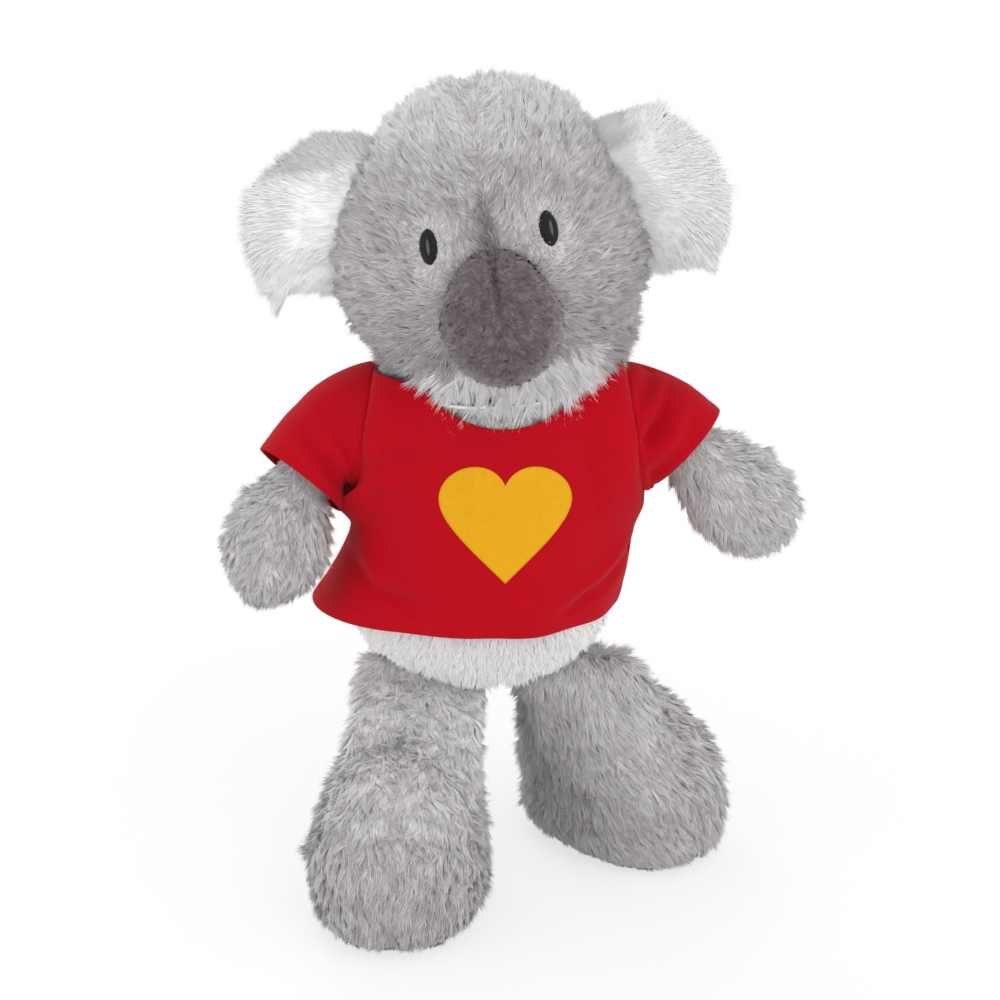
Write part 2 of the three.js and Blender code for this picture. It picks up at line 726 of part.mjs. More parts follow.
// Torso and shirt
{
  const dish = ballAt(headCentre, dishRadius, bandSides);
  const hipCuts = ["left", "right"].map((side) => {
    const facing = new THREE.Vector3(0, -Math.sin(hipFacing), -Math.cos(hipFacing));
    const wide = 2 * (legHalfWidth + runningGap);
    const box = new THREE.BoxGeometry(wide, cutterReach, cutterReach);
    const turn = new THREE.Quaternion().setFromUnitVectors(zAxis, facing);
    const centre = hipCentre(side).addScaledVector(facing, cutterReach / 2 - hipRadius - runningGap);
    return placed(box, new THREE.Matrix4().compose(centre, turn, new THREE.Vector3(1, 1, 1)));
  });
  const shoulderCuts = ["left", "right"].map((side) => {
    const centre = armholeCentre(side);
    const axis = armholeAxis(side);
    const inside = centre.clone().addScaledVector(axis, -runningGap);
    const rod = rodAlong(inside, axis, cutterReach, armholeRadius, rodSides);
    const root = centre.clone().addScaledVector(axis, armRootOut);
    return rod.add(ballAt(root, outsideFacets(armRootRadius + runningGap, grooveSides), grooveSides));
  });
  const cuts = [dish, ...hipCuts, ...shoulderCuts];
  const opened = (solid) => cuts.reduce((rest, cut) => rest.subtract(cut), solid);
  const hollow = torsoForm(-plushThickness, innerSides, innerRings);
  const cover = opened(torsoForm(0, torsoSides, torsoRings).subtract(hollow));
  const seamPoint = new THREE.Vector3(0, torsoDepthPlace + bellySeam, 0);
  const [backPanel, bellyPanel] = halves(cover, seamPoint, yAxis);
  toy.add(meshOf("torso_back_panel", backPanel, greyPlush));
  toy.add(meshOf("torso_belly_panel", bellyPanel, whitePlush));
  const stuffing = opened(torsoForm(-plushThickness - seatGap, innerSides, innerRings));
  toy.add(meshOf("torso_stuffing", stuffing, paleFibre));

  const stubs = ["left", "right"].map((side) => {
    const centre = armholeCentre(side);
    const axis = armholeAxis(side);
    const start = centre.clone().addScaledVector(axis, -armholeRadius);
    const stubReach = armholeRadius - runningGap / 2;
    const outerStub = rodAlong(start, axis, stubReach, armholeRadius, sleeveSides);
    const innerStub = rodAlong(start, axis, 2 * armholeRadius, armholeRadius - jerseyThickness, sleeveSides);
    const plane = centre.clone().addScaledVector(axis, -runningGap / 2);
    const pastPlane = rodAlong(plane, axis, cutterReach, armholeRadius + shirtEase, sleeveSides);
    return { outerStub, innerStub, pastPlane };
  });
  const collarAxis = new THREE.Vector3(0, -Math.sin(collarTilt), Math.cos(collarTilt));
  const collarStart = vectorOf(collarPlace).addScaledVector(collarAxis, -collarRadius / 2);
  const collarHole = rodAlong(collarStart, collarAxis, cutterReach, collarRadius, bandSides);
  const headRoom = ballAt(headCentre, dishRadius + collarEase, bandSides);
  let shirtOuter = shirtForm(0, 0);
  let shirtInner = shirtForm(-jerseyThickness, hemHeight / 2);
  for (const { outerStub, innerStub } of stubs) {
    shirtOuter = shirtOuter.add(outerStub);
    shirtInner = shirtInner.add(innerStub);
  }
  let shirt = shirtOuter.subtract(shirtInner).subtract(collarHole).subtract(headRoom);
  for (const { pastPlane } of stubs) shirt = shirt.subtract(pastPlane);
  const sideSeam = new THREE.Vector3(0, shoulderPlace.y, 0);
  const [shirtBack, shirtFront] = halves(shirt, sideSeam, yAxis);
  toy.add(meshOf("shirt_front", shirtFront, redJersey));
  toy.add(meshOf("shirt_back", shirtBack, redJersey));

  const heart = new THREE.Shape();
  const [tipWidthShare, tipRiseShare] = heartPointShares;
  const [lobeWidthShare, lobeRiseShare] = heartLobeShares;
  heart.moveTo(0, heartPoint);
  for (const sign of [-1, 1]) {
    const width = sign * heartHalfWidth;
    const low = [width * tipWidthShare, heartPoint * tipRiseShare, width, heartPoint * heartFlankShare];
    const cheek = [width, heartNotch * heartCheekShare];
    const lobe = [width, heartTop, width * lobeWidthShare, heartTop * lobeRiseShare];
    if (sign < 0) {
      heart.bezierCurveTo(...low, ...cheek);
      heart.bezierCurveTo(...lobe, 0, heartNotch);
    } else {
      heart.bezierCurveTo(lobe[2], lobe[3], lobe[0], lobe[1], ...cheek);
      heart.bezierCurveTo(low[2], low[3], low[0], low[1], 0, heartPoint);
    }
  }
  const options = { depth: cutterReach, bevelEnabled: false, curveSegments: heartSegments };
  const bar = new THREE.ExtrudeGeometry(heart, options);
  const matrix = new THREE.Matrix4()
    .makeRotationX(Math.PI / 2)
    .setPosition(heartPlace.x, torsoDepthPlace, heartPlace.z);
  const print = patchOn((grow) => shirtForm(grow, 0), placed(bar, matrix), seatGap, printThickness);
  toy.add(meshOf("heart_print", print, yellowPrint));
}

// Arms with their sleeves
for (const side of ["left", "right"]) {
  const arm = new THREE.Group();
  arm.position.copy(armholeCentre(side));
  arm.quaternion.setFromAxisAngle(armholeAxis(side), -sideSigns[side] * armSwing[side]);
  const cover = armForm(side, 0, armSides, armRings)
    .subtract(armForm(side, plushThickness, innerSides, innerTubeRings));
  const curve = armCurve(side);
  const { over } = armFrame(curve, 0.5);
  const forward = over.y < 0 ? over : over.negate();
  const [front, back] = halves(cover, curve.getPoint(0.5), forward);
  arm.add(meshOf("arm_" + side + "_front_panel", front, greyPlush));
  arm.add(meshOf("arm_" + side + "_back_panel", back, greyPlush));
  const stuffing = armForm(side, plushThickness + seatGap, innerSides, innerTubeRings);
  arm.add(meshOf("arm_" + side + "_stuffing", stuffing, paleFibre));
  const sleeve = sleeveForm(side, 0, 0).subtract(sleeveForm(side, -jerseyThickness, jerseyThickness));
  arm.add(meshOf("sleeve_" + side, sleeve, redJersey));
  toy.add(arm);
}

// Legs
for (const side of ["left", "right"]) {
  const leg = new THREE.Group();
  leg.position.copy(hipCentre(side));
  const ground = new THREE.Vector3(0, 0, -hipPlace.z);
  const standing = beyond(ground, zAxis);
  const cover = outerLeg(side).intersect(standing).subtract(innerLeg(side, plushThickness));
  const soleTop = ground.clone().addScaledVector(zAxis, plushThickness + soleCut);
  const [upper, sole] = halves(cover, soleTop, zAxis);
  const { across, centre } = footFrame(side);
  const [outer, inner] = halves(upper, centre, across.clone().multiplyScalar(sideSigns[side]));
  leg.add(meshOf("leg_" + side + "_inner_panel", inner, greyPlush));
  leg.add(meshOf("leg_" + side + "_outer_panel", outer, greyPlush));
  leg.add(meshOf("leg_" + side + "_sole", sole, greyPlush));
  leg.add(meshOf("leg_" + side + "_stuffing", innerLeg(side, plushThickness + seatGap), paleFibre));
  toy.add(leg);
}

// The origin is under the middle of the whole toy, on the surface it stands on.
const box = new THREE.Box3().setFromObject(toy);
const middle = box.getCenter(new THREE.Vector3());
toy.position.set(-middle.x, -middle.y, 0);
const part = new THREE.Group();
part.add(toy);

export default part;
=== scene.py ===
import json
import math

import bmesh
import bpy
import numpy as np
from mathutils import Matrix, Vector
from mathutils.bvhtree import BVHTree


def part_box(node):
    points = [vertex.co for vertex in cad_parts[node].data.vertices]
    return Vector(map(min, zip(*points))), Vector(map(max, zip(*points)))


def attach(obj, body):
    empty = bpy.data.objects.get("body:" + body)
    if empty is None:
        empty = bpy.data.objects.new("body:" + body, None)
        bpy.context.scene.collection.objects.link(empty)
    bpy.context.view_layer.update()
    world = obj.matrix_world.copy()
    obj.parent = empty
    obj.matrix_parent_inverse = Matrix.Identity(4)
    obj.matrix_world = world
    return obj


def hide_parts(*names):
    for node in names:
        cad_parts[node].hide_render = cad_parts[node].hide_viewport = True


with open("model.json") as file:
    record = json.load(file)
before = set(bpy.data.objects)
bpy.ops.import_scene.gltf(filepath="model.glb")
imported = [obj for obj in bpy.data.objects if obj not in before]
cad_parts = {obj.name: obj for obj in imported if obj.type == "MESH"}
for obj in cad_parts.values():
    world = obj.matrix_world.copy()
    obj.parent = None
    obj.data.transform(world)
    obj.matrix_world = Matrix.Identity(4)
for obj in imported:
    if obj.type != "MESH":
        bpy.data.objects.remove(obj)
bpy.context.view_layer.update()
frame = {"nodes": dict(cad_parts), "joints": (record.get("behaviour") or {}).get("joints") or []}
nodes = frame["nodes"]
joints = {joint["name"]: joint for joint in frame["joints"]}
print("frame loaded:", len(nodes), "nodes")

# Sizes below are millimetres in the toy's own frame: x to its left, -y out of its face, z up.
mm = 0.001
headCentre = np.array([-1.5, -9.0, 201.0])
toyShift = np.array(joints["neck_turn"]["pos_m"]) / mm - headCentre
sideSigns = {"left": 1, "right": -1}
downward = np.array([0.0, 0.0, -1.0])


def placed(points):
    return (np.asarray(points, float) + toyShift) * mm


def toyPoint(points):
    return np.asarray(points, float) / mm - toyShift


def unit(vectors):
    vectors = np.asarray(vectors, float)
    return vectors / np.maximum(np.linalg.norm(vectors, axis=-1, keepdims=True), 1e-12)


def ease(values, start, end):
    share = np.clip((np.asarray(values, float) - start) / (end - start), 0, 1)
    return share * share * (3 - 2 * share)


def bell(values, width):
    # 1 at 0, and nearly nothing at twice the width on either side
    return np.exp(-((values / width) ** 2))


def along(vectors, normals):
    # The part of each vector that lies in the surface
    return unit(vectors - (vectors * normals).sum(1, keepdims=True) * normals)


def turned(vectors, axis, angle):
    vectors, axis = np.asarray(vectors, float), unit(axis)
    side = np.cross(axis, vectors)
    lengthwise = (vectors @ axis)[..., None] * axis
    return vectors * math.cos(angle) + side * math.sin(angle) + lengthwise * (1 - math.cos(angle))


# Node trees, for shaders and geometry alike

class Signal:
    # A socket that takes part in sums: each operator adds a Math node
    def __init__(self, kit, node, output=0):
        self.kit, self.node = kit, node
        self.socket = node.outputs[output]

    def other(self, output):
        return Signal(self.kit, self.node, output)

    def __add__(self, value):
        return self.kit.math("ADD", self, value)

    def __sub__(self, value):
        return self.kit.math("SUBTRACT", self, value)

    def __rsub__(self, value):
        return self.kit.math("SUBTRACT", value, self)

    def __mul__(self, value):
        return self.kit.math("MULTIPLY", self, value)

    def __truediv__(self, value):
        return self.kit.math("DIVIDE", self, value)

    def __rtruediv__(self, value):
        return self.kit.math("DIVIDE", value, self)

    def __pow__(self, value):
        return self.kit.math("POWER", self, value)

    __radd__, __rmul__ = __add__, __mul__


class Kit:
    def __init__(self, tree):
        self.tree = tree

    def node(self, kind, settings=None, sockets=None, output=0):
        made = self.tree.nodes.new(kind)
        for name, value in (settings or {}).items():
            if name == "stops":
                stops = made.color_ramp.elements
                while len(stops) < len(value):
                    stops.new(0.5)
                for stop, (position, colour) in zip(stops, value):
                    stop.position, stop.color = position, colour
            else:
                setattr(made, name, value)
        for name, value in (sockets or {}).items():
            if isinstance(value, Signal):
                self.tree.links.new(value.socket, made.inputs[name])
            else:
                made.inputs[name].default_value = value
        return Signal(self, made, output) if made.outputs else made

    def math(self, operation, *values):
        return self.node("ShaderNodeMath", {"operation": operation}, dict(enumerate(values)))

    def chance(self, low, high, seed):
        sockets = {2: low, 3: high, "Seed": seed}
        return self.node("FunctionNodeRandomValue", {"data_type": "FLOAT"}, sockets, 1)

    def mixed(self, share, first, second):
        sockets = {"Factor": share, 6: first, 7: second}
        return self.node("ShaderNodeMix", {"data_type": "RGBA"}, sockets, 2)

    def vector(self, operation, *values, scale=None):
        sockets = dict(enumerate(values))
        if scale is not None:
            sockets["Scale"] = scale
        output = "Value" if operation in ("LENGTH", "DOT_PRODUCT") else "Vector"
        return self.node("ShaderNodeVectorMath", {"operation": operation}, sockets, output)


def colour(red, green, blue):
    # From the 0 to 255 of a swatch to the light that Blender works in
    def light(value):
        value /= 255
        return value / 12.92 if value <= 0.04045 else ((value + 0.055) / 1.055) ** 2.4

    return light(red), light(green), light(blue), 1.0


def newMaterial(name, **constants):
    made = bpy.data.materials.new(name)
    made.use_nodes = True
    made.node_tree.nodes.clear()
    kit = Kit(made.node_tree)
    shader = kit.node("ShaderNodeBsdfPrincipled", None, constants)
    kit.node("ShaderNodeOutputMaterial", None, {"Surface": shader})
    return made, kit, shader.node


def feed(kit, signal, shader, name):
    kit.tree.links.new(signal.socket, shader.inputs[name])


def feedBump(kit, shader, height, strength, depth):
    bump = kit.node("ShaderNodeBump", None, {"Height": height, "Strength": strength, "Distance": depth})
    feed(kit, bump, shader, "Normal")


# Materials

plushColours = {
    "tones": [
        (0.0, colour(132, 127, 129)),
        (0.22, colour(172, 167, 169)),
        (0.42, colour(203, 199, 200)),
        (0.6, colour(226, 223, 223)),
        (0.8, colour(249, 247, 246)),
        (1.0, colour(255, 254, 254)),
    ],
    "rootShade": 0.6,
    "paleRootShade": 0.99,
    "rise": 0.7,
}
velourColours = {
    "tones": [
        (0.0, colour(86, 76, 80)),
        (0.5, colour(131, 119, 122)),
        (1.0, colour(172, 160, 162)),
    ],
    "rootShade": 0.55,
    "paleRootShade": 0.7,
    "rise": 0.8,
}


def pileMaterial(name, colours):
    # Tone runs across the map and the height along a strand runs up it
    made, kit, shader = newMaterial(
        name,
        **{"Roughness": 0.85, "Sheen Weight": 0.25, "Sheen Roughness": 0.5, "Specular IOR Level": 0.2},
    )
    spot = kit.node("ShaderNodeUVMap", {"uv_map": "OFBake"})
    split = kit.node("ShaderNodeSeparateXYZ", None, {"Vector": spot})
    tone = kit.node("ShaderNodeValToRGB", {"stops": colours["tones"]}, {"Fac": split.other("X")})
    root = split.other("X") * (colours["paleRootShade"] - colours["rootShade"]) + colours["rootShade"]
    shade = split.other("Y") ** colours["rise"] * (1 - root) + root
    feed(kit, kit.vector("SCALE", tone, scale=shade), shader, "Base Color")
    return made


plushMaterial = pileMaterial("longPilePlush", plushColours)
velourMaterial = pileMaterial("noseVelour", velourColours)

jersey = {
    "red": colour(179, 7, 25),
    "deepRed": colour(147, 5, 20),
    "loopWidth": 0.7,
    "loopHeight": 0.55,
    "loopDepth": 0.00006,
    "loopSlant": 0.6,
    "loopShade": 0.22,
    "wash": 0.3,
}


def jerseyMaterial():
    made, kit, shader = newMaterial(
        "redJersey",
        **{"Roughness": 0.9, "Sheen Weight": 0.04, "Sheen Roughness": 0.5, "Specular IOR Level": 0.06},
    )
    spot = kit.node("ShaderNodeUVMap", {"uv_map": "clothPlace"})
    split = kit.node("ShaderNodeSeparateXYZ", None, {"Vector": spot})
    # Rows of slanted loops, each a bead between two grooves
    across = kit.math("FRACT", split.other("X") / jersey["loopWidth"])
    loop = kit.math("ABSOLUTE", across - 0.5) * 2
    row = kit.math("FRACT", split.other("Y") / jersey["loopHeight"] + loop * jersey["loopSlant"])
    bead = kit.math("ABSOLUTE", row - 0.5) * 2
    height = bead * (1 - loop * 0.5)
    feedBump(kit, shader, height, 0.35, jersey["loopDepth"])
    wash = kit.node(
        "ShaderNodeTexNoise",
        None,
        {"Vector": kit.node("ShaderNodeTexCoord", output="Object"), "Scale": 55.0, "Detail": 3.0},
    )
    share = (1 - height) * jersey["loopShade"] + wash * jersey["wash"]
    feed(kit, kit.mixed(share, jersey["red"], jersey["deepRed"]), shader, "Base Color")
    return made


redMaterial = jerseyMaterial()

threads = {
    "blackThread": (colour(4, 4, 5), colour(14, 14, 16), 0.5),
    "greyThread": (colour(66, 67, 72), colour(98, 99, 104), 0.5),
    "redThread": (colour(146, 8, 22), colour(174, 12, 28), 0.8),
}


def threadMaterial(name, dark, light, roughness):
    # Twisted thread: a fine slanted band along it
    made, kit, shader = newMaterial(name, **{"Roughness": roughness, "Specular IOR Level": 0.3})
    place = kit.node("ShaderNodeTexCoord", output="Object")
    twist = kit.node(
        "ShaderNodeTexWave",
        {"bands_direction": "DIAGONAL"},
        {"Vector": place, "Scale": 900.0, "Distortion": 2.0},
    )
    feed(kit, kit.mixed(twist, dark, light), shader, "Base Color")
    return made


threadMaterials = {name: threadMaterial(name, *look) for name, look in threads.items()}

ink = {
    "yellow": colour(216, 159, 15),
    "deepYellow": colour(206, 149, 9),
    "mottleScale": 420.0,
    "mottleDepth": 0.00008,
}


def printMaterial():
    # A flat ink print on knit: a faint mottle and a little gloss
    made, kit, shader = newMaterial("yellowPrint", **{"Roughness": 0.65, "Specular IOR Level": 0.15})
    place = kit.node("ShaderNodeTexCoord", output="Object")
    mottle = kit.node(
        "ShaderNodeTexNoise",
        None,
        {"Vector": place, "Scale": ink["mottleScale"], "Detail": 2.0},
    )
    feed(kit, kit.mixed(mottle, ink["yellow"], ink["deepYellow"]), shader, "Base Color")
    feedBump(kit, shader, mottle, 0.2, ink["mottleDepth"])
    return made


yellowMaterial = printMaterial()
print("materials made")


# Meshes

def newObject(name, mesh):
    made = bpy.data.objects.new(name, mesh)
    bpy.context.scene.collection.objects.link(made)
    return made


def meshOf(name, points, faces, material=None):
    mesh = bpy.data.meshes.new(name)
    mesh.from_pydata([tuple(p) for p in points], [], [tuple(f) for f in faces])
    mesh.validate()
    mesh.update()
    mesh.shade_smooth()
    if material:
        mesh.materials.append(material)
    return newObject(name, mesh)


def readAll(items, key, width, kind=np.float32):
    found = np.empty(len(items) * width, kind)
    items.foreach_get(key, found)
    return found.reshape(-1, width)


def pointsOf(mesh):
    return readAll(mesh.vertices, "co", 3).astype(float)


def normalsOf(mesh):
    return readAll(mesh.vertex_normals, "vector", 3).astype(float)


def edgesOf(mesh):
    return readAll(mesh.edges, "vertices", 2, np.int32)


def setPoints(mesh, points):
    mesh.vertices.foreach_set("co", np.asarray(points, np.float32).ravel())
    mesh.update()


def finishedMesh(made):
    # The object's modifiers, worked into a plain mesh
    bpy.context.view_layer.update()
    graph = bpy.context.evaluated_depsgraph_get()
    mesh = bpy.data.meshes.new_from_object(made.evaluated_get(graph))
    made.modifiers.clear()
    made.data = mesh
    return made


def relaxed(points, edges, rounds, pull=0.55, push=-0.57):
    # Smooths without shrinking
    count = np.maximum(np.bincount(edges.ravel(), minlength=len(points)), 1)[:, None]
    both = np.concatenate([edges, edges[:, ::-1]])
    for _ in range(rounds):
        for share in (pull, push):
            total = np.stack(
                [np.bincount(both[:, 0], points[both[:, 1], i], len(points)) for i in range(3)], 1
            )
            points = points + share * (total / count - points)
    return points


def quadsOf(columns, rows, ring=False, tube=False):
    # Faces of a grid of points; a ring's last column meets its first, and a tube's last row its first
    faces = []
    for i in range(columns - 1 + ring):
        j = (i + 1) % columns
        for k in range(rows - 1 + tube):
            n = (k + 1) % rows
            faces.append((i * rows + k, j * rows + k, j * rows + n, i * rows + n))
    return faces


def cadCopy(name, members):
    points, faces, start = [], [], 0
    for member in members:
        mesh = nodes[member].data
        merged, same = np.unique(np.round(pointsOf(mesh), 7), axis=0, return_inverse=True)
        same = same.ravel()
        for polygon in mesh.polygons:
            corners = [int(same[v]) + start for v in polygon.vertices]
            if len(set(corners)) > 2:
                faces.append(corners)
        points.append(merged)
        start += len(merged)
    return meshOf(name, np.concatenate(points), faces)


# Stuffed forms

plumping = {
    "start": 0.4,
    "pressure": 4.0,
    "quality": 4,
    "mass": 0.3,
    "frames": 14,
    "most": 1.0,
    "smoothing": 4,
}


def plumped(form):
    # The stuffing's pressure fills the cover out, each point by no more than a little
    mesh, scene = form.data, bpy.context.scene
    rest = pointsOf(mesh)
    setPoints(mesh, rest - normalsOf(mesh) * (plumping["start"] * mm))
    settings = form.modifiers.new("stuffing", "CLOTH").settings
    settings.quality = plumping["quality"]
    settings.mass = plumping["mass"]
    settings.use_pressure = True
    settings.uniform_pressure_force = plumping["pressure"]
    settings.effector_weights.gravity = 0
    for step in range(1, plumping["frames"] + 1):
        scene.frame_set(step)
    swollen = form.evaluated_get(bpy.context.evaluated_depsgraph_get()).data
    move = pointsOf(swollen) - rest
    form.modifiers.clear()
    scene.frame_set(1)
    far = np.linalg.norm(move, axis=1, keepdims=True)
    move *= np.minimum(1, plumping["most"] * mm / np.maximum(far, 1e-9))
    mean, most = float(far.mean()) / mm, float(far.max()) / mm
    print(form.name, "filled out by", round(mean, 2), "mm, at most", round(most, 1), "before the cap")
    setPoints(mesh, relaxed(rest + move, edgesOf(mesh), plumping["smoothing"]))


def stuffedForm(name, members, voxel, inset, rounds=14, insetShare=None):
    form = cadCopy(name, members)
    remesh = form.modifiers.new("skin", "REMESH")
    remesh.mode = "VOXEL"
    remesh.voxel_size = voxel * mm
    finishedMesh(form)
    mesh = form.data
    setPoints(mesh, relaxed(pointsOf(mesh), edgesOf(mesh), rounds))
    points, normals = pointsOf(mesh), normalsOf(mesh)
    share = np.ones(len(points)) if insetShare is None else insetShare(toyPoint(points))
    setPoints(mesh, points - normals * (share * inset * mm)[:, None])
    mesh.shade_smooth()
    plumped(form)
    return form


def formTree(form):
    points = [v.co.copy() for v in form.data.vertices]
    return BVHTree.FromPolygons(points, [tuple(p.vertices) for p in form.data.polygons])


def filled(form, between, rounds, passes):
    # Pulls the cover straight over a hollow between two heights, and only ever outwards
    mesh = form.data
    edges = edgesOf(mesh)
    low, high = between
    for _ in range(passes):
        points, normals = pointsOf(mesh), normalsOf(mesh)
        heights = toyPoint(points)[:, 2]
        share = ease(heights, low, low + 10) * (1 - ease(heights, high - 8, high))
        smooth = relaxed(points, edges, rounds, 0.5, 0.0)
        out = np.maximum(((smooth - points) * normals).sum(1), 0)
        setPoints(mesh, points + normals * (out * share)[:, None])


# Pile: strands that stand on a form, lean along its comb and gather in tufts

def inputNames(tree):
    return {item.name: item.identifier for item in tree.interface.items_tree if item.in_out == "INPUT"}


def newTree(name, numbers, counts):
    # A Geometry Nodes tree with its named inputs
    tree = bpy.data.node_groups.new(name, "GeometryNodeTree")
    kinds = {"Geometry": "Geometry", **dict.fromkeys(numbers, "Float"), **dict.fromkeys(counts, "Int")}
    for title, kind in {**kinds, "Material": "Material"}.items():
        tree.interface.new_socket(title, in_out="INPUT", socket_type="NodeSocket" + kind)
    tree.interface.new_socket("Geometry", in_out="OUTPUT", socket_type="NodeSocketGeometry")
    kit = Kit(tree)
    return kit, kit.node("NodeGroupInput").other


def laidOut(kit, spots, shape, turn, size):
    # One shape at every spot, made real
    laid = kit.node(
        "GeometryNodeInstanceOnPoints",
        None,
        {"Points": spots, "Instance": shape, "Rotation": turn, "Scale": size},
    )
    return kit.node("GeometryNodeRealizeInstances", None, {"Geometry": laid})


def joined(kit, *parts):
    made = kit.node("GeometryNodeJoinGeometry")
    for part in parts:
        kit.tree.links.new(part.socket, made.node.inputs["Geometry"])
    return made


def closedTree(kit, geometry, material):
    # The last two nodes of a tree
    dressed = kit.node("GeometryNodeSetMaterial", None, {"Geometry": geometry, "Material": material})
    kit.node("NodeGroupOutput", None, {"Geometry": dressed})
    return kit.tree


def treeOn(form, title, tree, values):
    # Runs a tree on a form with these values, and keeps the result as its mesh
    modifier = form.modifiers.new(title, "NODES")
    modifier.node_group = tree
    names = inputNames(tree)
    for key, value in values.items():
        modifier[names[key]] = value
    finishedMesh(form)


def pileTree():
    sizes = ("Density", "Tufts", "Length", "Width")
    leans = ("Lie", "Gather", "Ruffle", "Ruffle Size", "Stray", "Droop")
    kit, given = newTree("pile", sizes + leans + ("Tone Spread", "Tuft Tones"), ["Seed"])

    def stored(geometry, name, value, kind="FLOAT", domain="POINT"):
        return kit.node(
            "GeometryNodeStoreNamedAttribute",
            {"data_type": kind, "domain": domain},
            {"Geometry": geometry, "Name": name, "Value": value},
        )

    def named(name, kind="FLOAT"):
        return kit.node("GeometryNodeInputNamedAttribute", {"data_type": kind}, {"Name": name})

    def chanceVector(size, seed):
        reach = {0: (-size,) * 3, 1: (size,) * 3, "Seed": seed}
        return kit.node("FunctionNodeRandomValue", {"data_type": "FLOAT_VECTOR"}, reach, 0)

    def kept(value, low, high):
        return kit.node("ShaderNodeClamp", None, {"Value": value, "Min": low, "Max": high})

    # One strand: a slim three-sided spike, ridge up, that droops towards its tip
    strand = kit.node(
        "GeometryNodeMeshCone",
        {"fill_type": "NONE"},
        {"Vertices": 3, "Radius Top": 0.0, "Radius Bottom": 1.0, "Depth": 1.0},
        "Mesh",
    )
    spot = kit.node("GeometryNodeInputPosition")
    split = kit.node("ShaderNodeSeparateXYZ", None, {"Vector": spot})
    strand = stored(strand, "across", split.other("Y"))
    strand = stored(strand, "ridge", split.other("X"))
    strand = stored(strand, "height", split.other("Z"))
    ridge = named("ridge") * (given("Width") / given("Length")) * 0.7
    above = ridge - named("height") ** 2 * given("Droop")
    shape = kit.node(
        "ShaderNodeCombineXYZ",
        None,
        {"X": named("across") * -1, "Y": above, "Z": named("height")},
    )
    strand = kit.node("GeometryNodeSetPosition", None, {"Geometry": strand, "Position": shape})

    # Where the strands and the tufts stand
    strands = kit.node(
        "GeometryNodeDistributePointsOnFaces",
        {"distribute_method": "RANDOM"},
        {"Mesh": given("Geometry"), "Density": given("Density") * named("cover"), "Seed": given("Seed")},
    )
    normal = strands.other("Normal")
    tufts = kit.node(
        "GeometryNodeDistributePointsOnFaces",
        {"distribute_method": "RANDOM"},
        {"Mesh": given("Geometry"), "Density": given("Tufts"), "Seed": given("Seed") + 7},
    )
    place = kit.node("GeometryNodeInputPosition")
    nearest = kit.node(
        "GeometryNodeSampleNearest",
        {"domain": "POINT"},
        {"Geometry": tufts, "Sample Position": place},
    )

    def fromTuft(value, kind="FLOAT_VECTOR"):
        return kit.node(
            "GeometryNodeSampleIndex",
            {"data_type": kind, "domain": "POINT"},
            {"Geometry": tufts, "Value": value, "Index": nearest},
        )

    tuftPlace = fromTuft(place)
    tuftLean = fromTuft(chanceVector(0.5, 11))
    tuftTone = fromTuft(kit.chance(-1.0, 1.0, 12), "FLOAT")
    tuftSize = fromTuft(kit.chance(0.82, 1.12, 13), "FLOAT")
    swirl = kit.node(
        "ShaderNodeTexNoise",
        None,
        {"Vector": tuftPlace, "Scale": 1 / given("Ruffle Size"), "Detail": 1.0},
    )
    swirl = kit.vector("SUBTRACT", swirl.other("Color"), (0.5, 0.5, 0.5))
    lean = kit.vector("SCALE", named("comb", "FLOAT_VECTOR"), scale=given("Lie"))
    rise = kit.vector("SCALE", normal, scale=1 - given("Lie"))
    inward = kit.vector("SUBTRACT", tuftPlace, place)
    gather = kit.vector("SCALE", inward, scale=given("Gather") / given("Length"))
    wave = kit.vector("SCALE", swirl, scale=given("Ruffle"))
    own = kit.vector("SCALE", chanceVector(1.0, 14), scale=given("Stray"))
    tuftOwn = kit.vector("SCALE", tuftLean, scale=given("Ruffle"))
    way = kit.vector("ADD", lean, rise)
    for part in (gather, wave, own, tuftOwn):
        way = kit.vector("ADD", way, part)
    turn = kit.node(
        "FunctionNodeAxesToRotation",
        {"primary_axis": "Z", "secondary_axis": "Y"},
        {"Primary Axis": way, "Secondary Axis": named("up", "FLOAT_VECTOR")},
    )
    tone = named("tone") + kit.chance(-1.0, 1.0, 15) * given("Tone Spread") + tuftTone * given("Tuft Tones")
    strands = stored(strands, "strandTone", tone)
    strands = stored(strands, "skinNormal", named("up", "FLOAT_VECTOR"), "FLOAT_VECTOR")
    length = given("Length") * named("pile") * tuftSize * kit.chance(0.75, 1.1, 16)
    width = given("Width") * kit.chance(0.7, 1.2, 17)
    size = kit.node("ShaderNodeCombineXYZ", None, {"X": width, "Y": length, "Z": length})
    pile = laidOut(kit, strands, strand, turn, size)
    # On the map a strand is a slim column that stands at its tone
    column = kept(named("strandTone"), 0.01, 0.99) + named("across") * 0.008
    mapPlace = kit.node("ShaderNodeCombineXYZ", None, {"X": column, "Y": named("height") * 0.96 + 0.02})
    pile = stored(pile, "OFBake", mapPlace, "FLOAT2", "CORNER")

    # The cloth that the strands stand in wears the colour of their roots, with their painted root shade
    column = kept(named("tone"), 0.02, 0.98) + kit.chance(-0.012, 0.012, 18)
    clothPlace = kit.node("ShaderNodeCombineXYZ", None, {"X": column, "Y": kit.chance(0.01, 0.06, 19)})
    cloth = stored(given("Geometry"), "OFBake", clothPlace, "FLOAT2", "CORNER")
    cloth = stored(cloth, "skinNormal", kit.node("GeometryNodeInputNormal"), "FLOAT_VECTOR")
    return closedTree(kit, joined(kit, pile, cloth), given("Material"))


pile = pileTree()
formAttributes = ("comb", "up", "pile", "tone", "cover")
strandAttributes = ("strandTone", "skinNormal", "height", "across", "ridge")


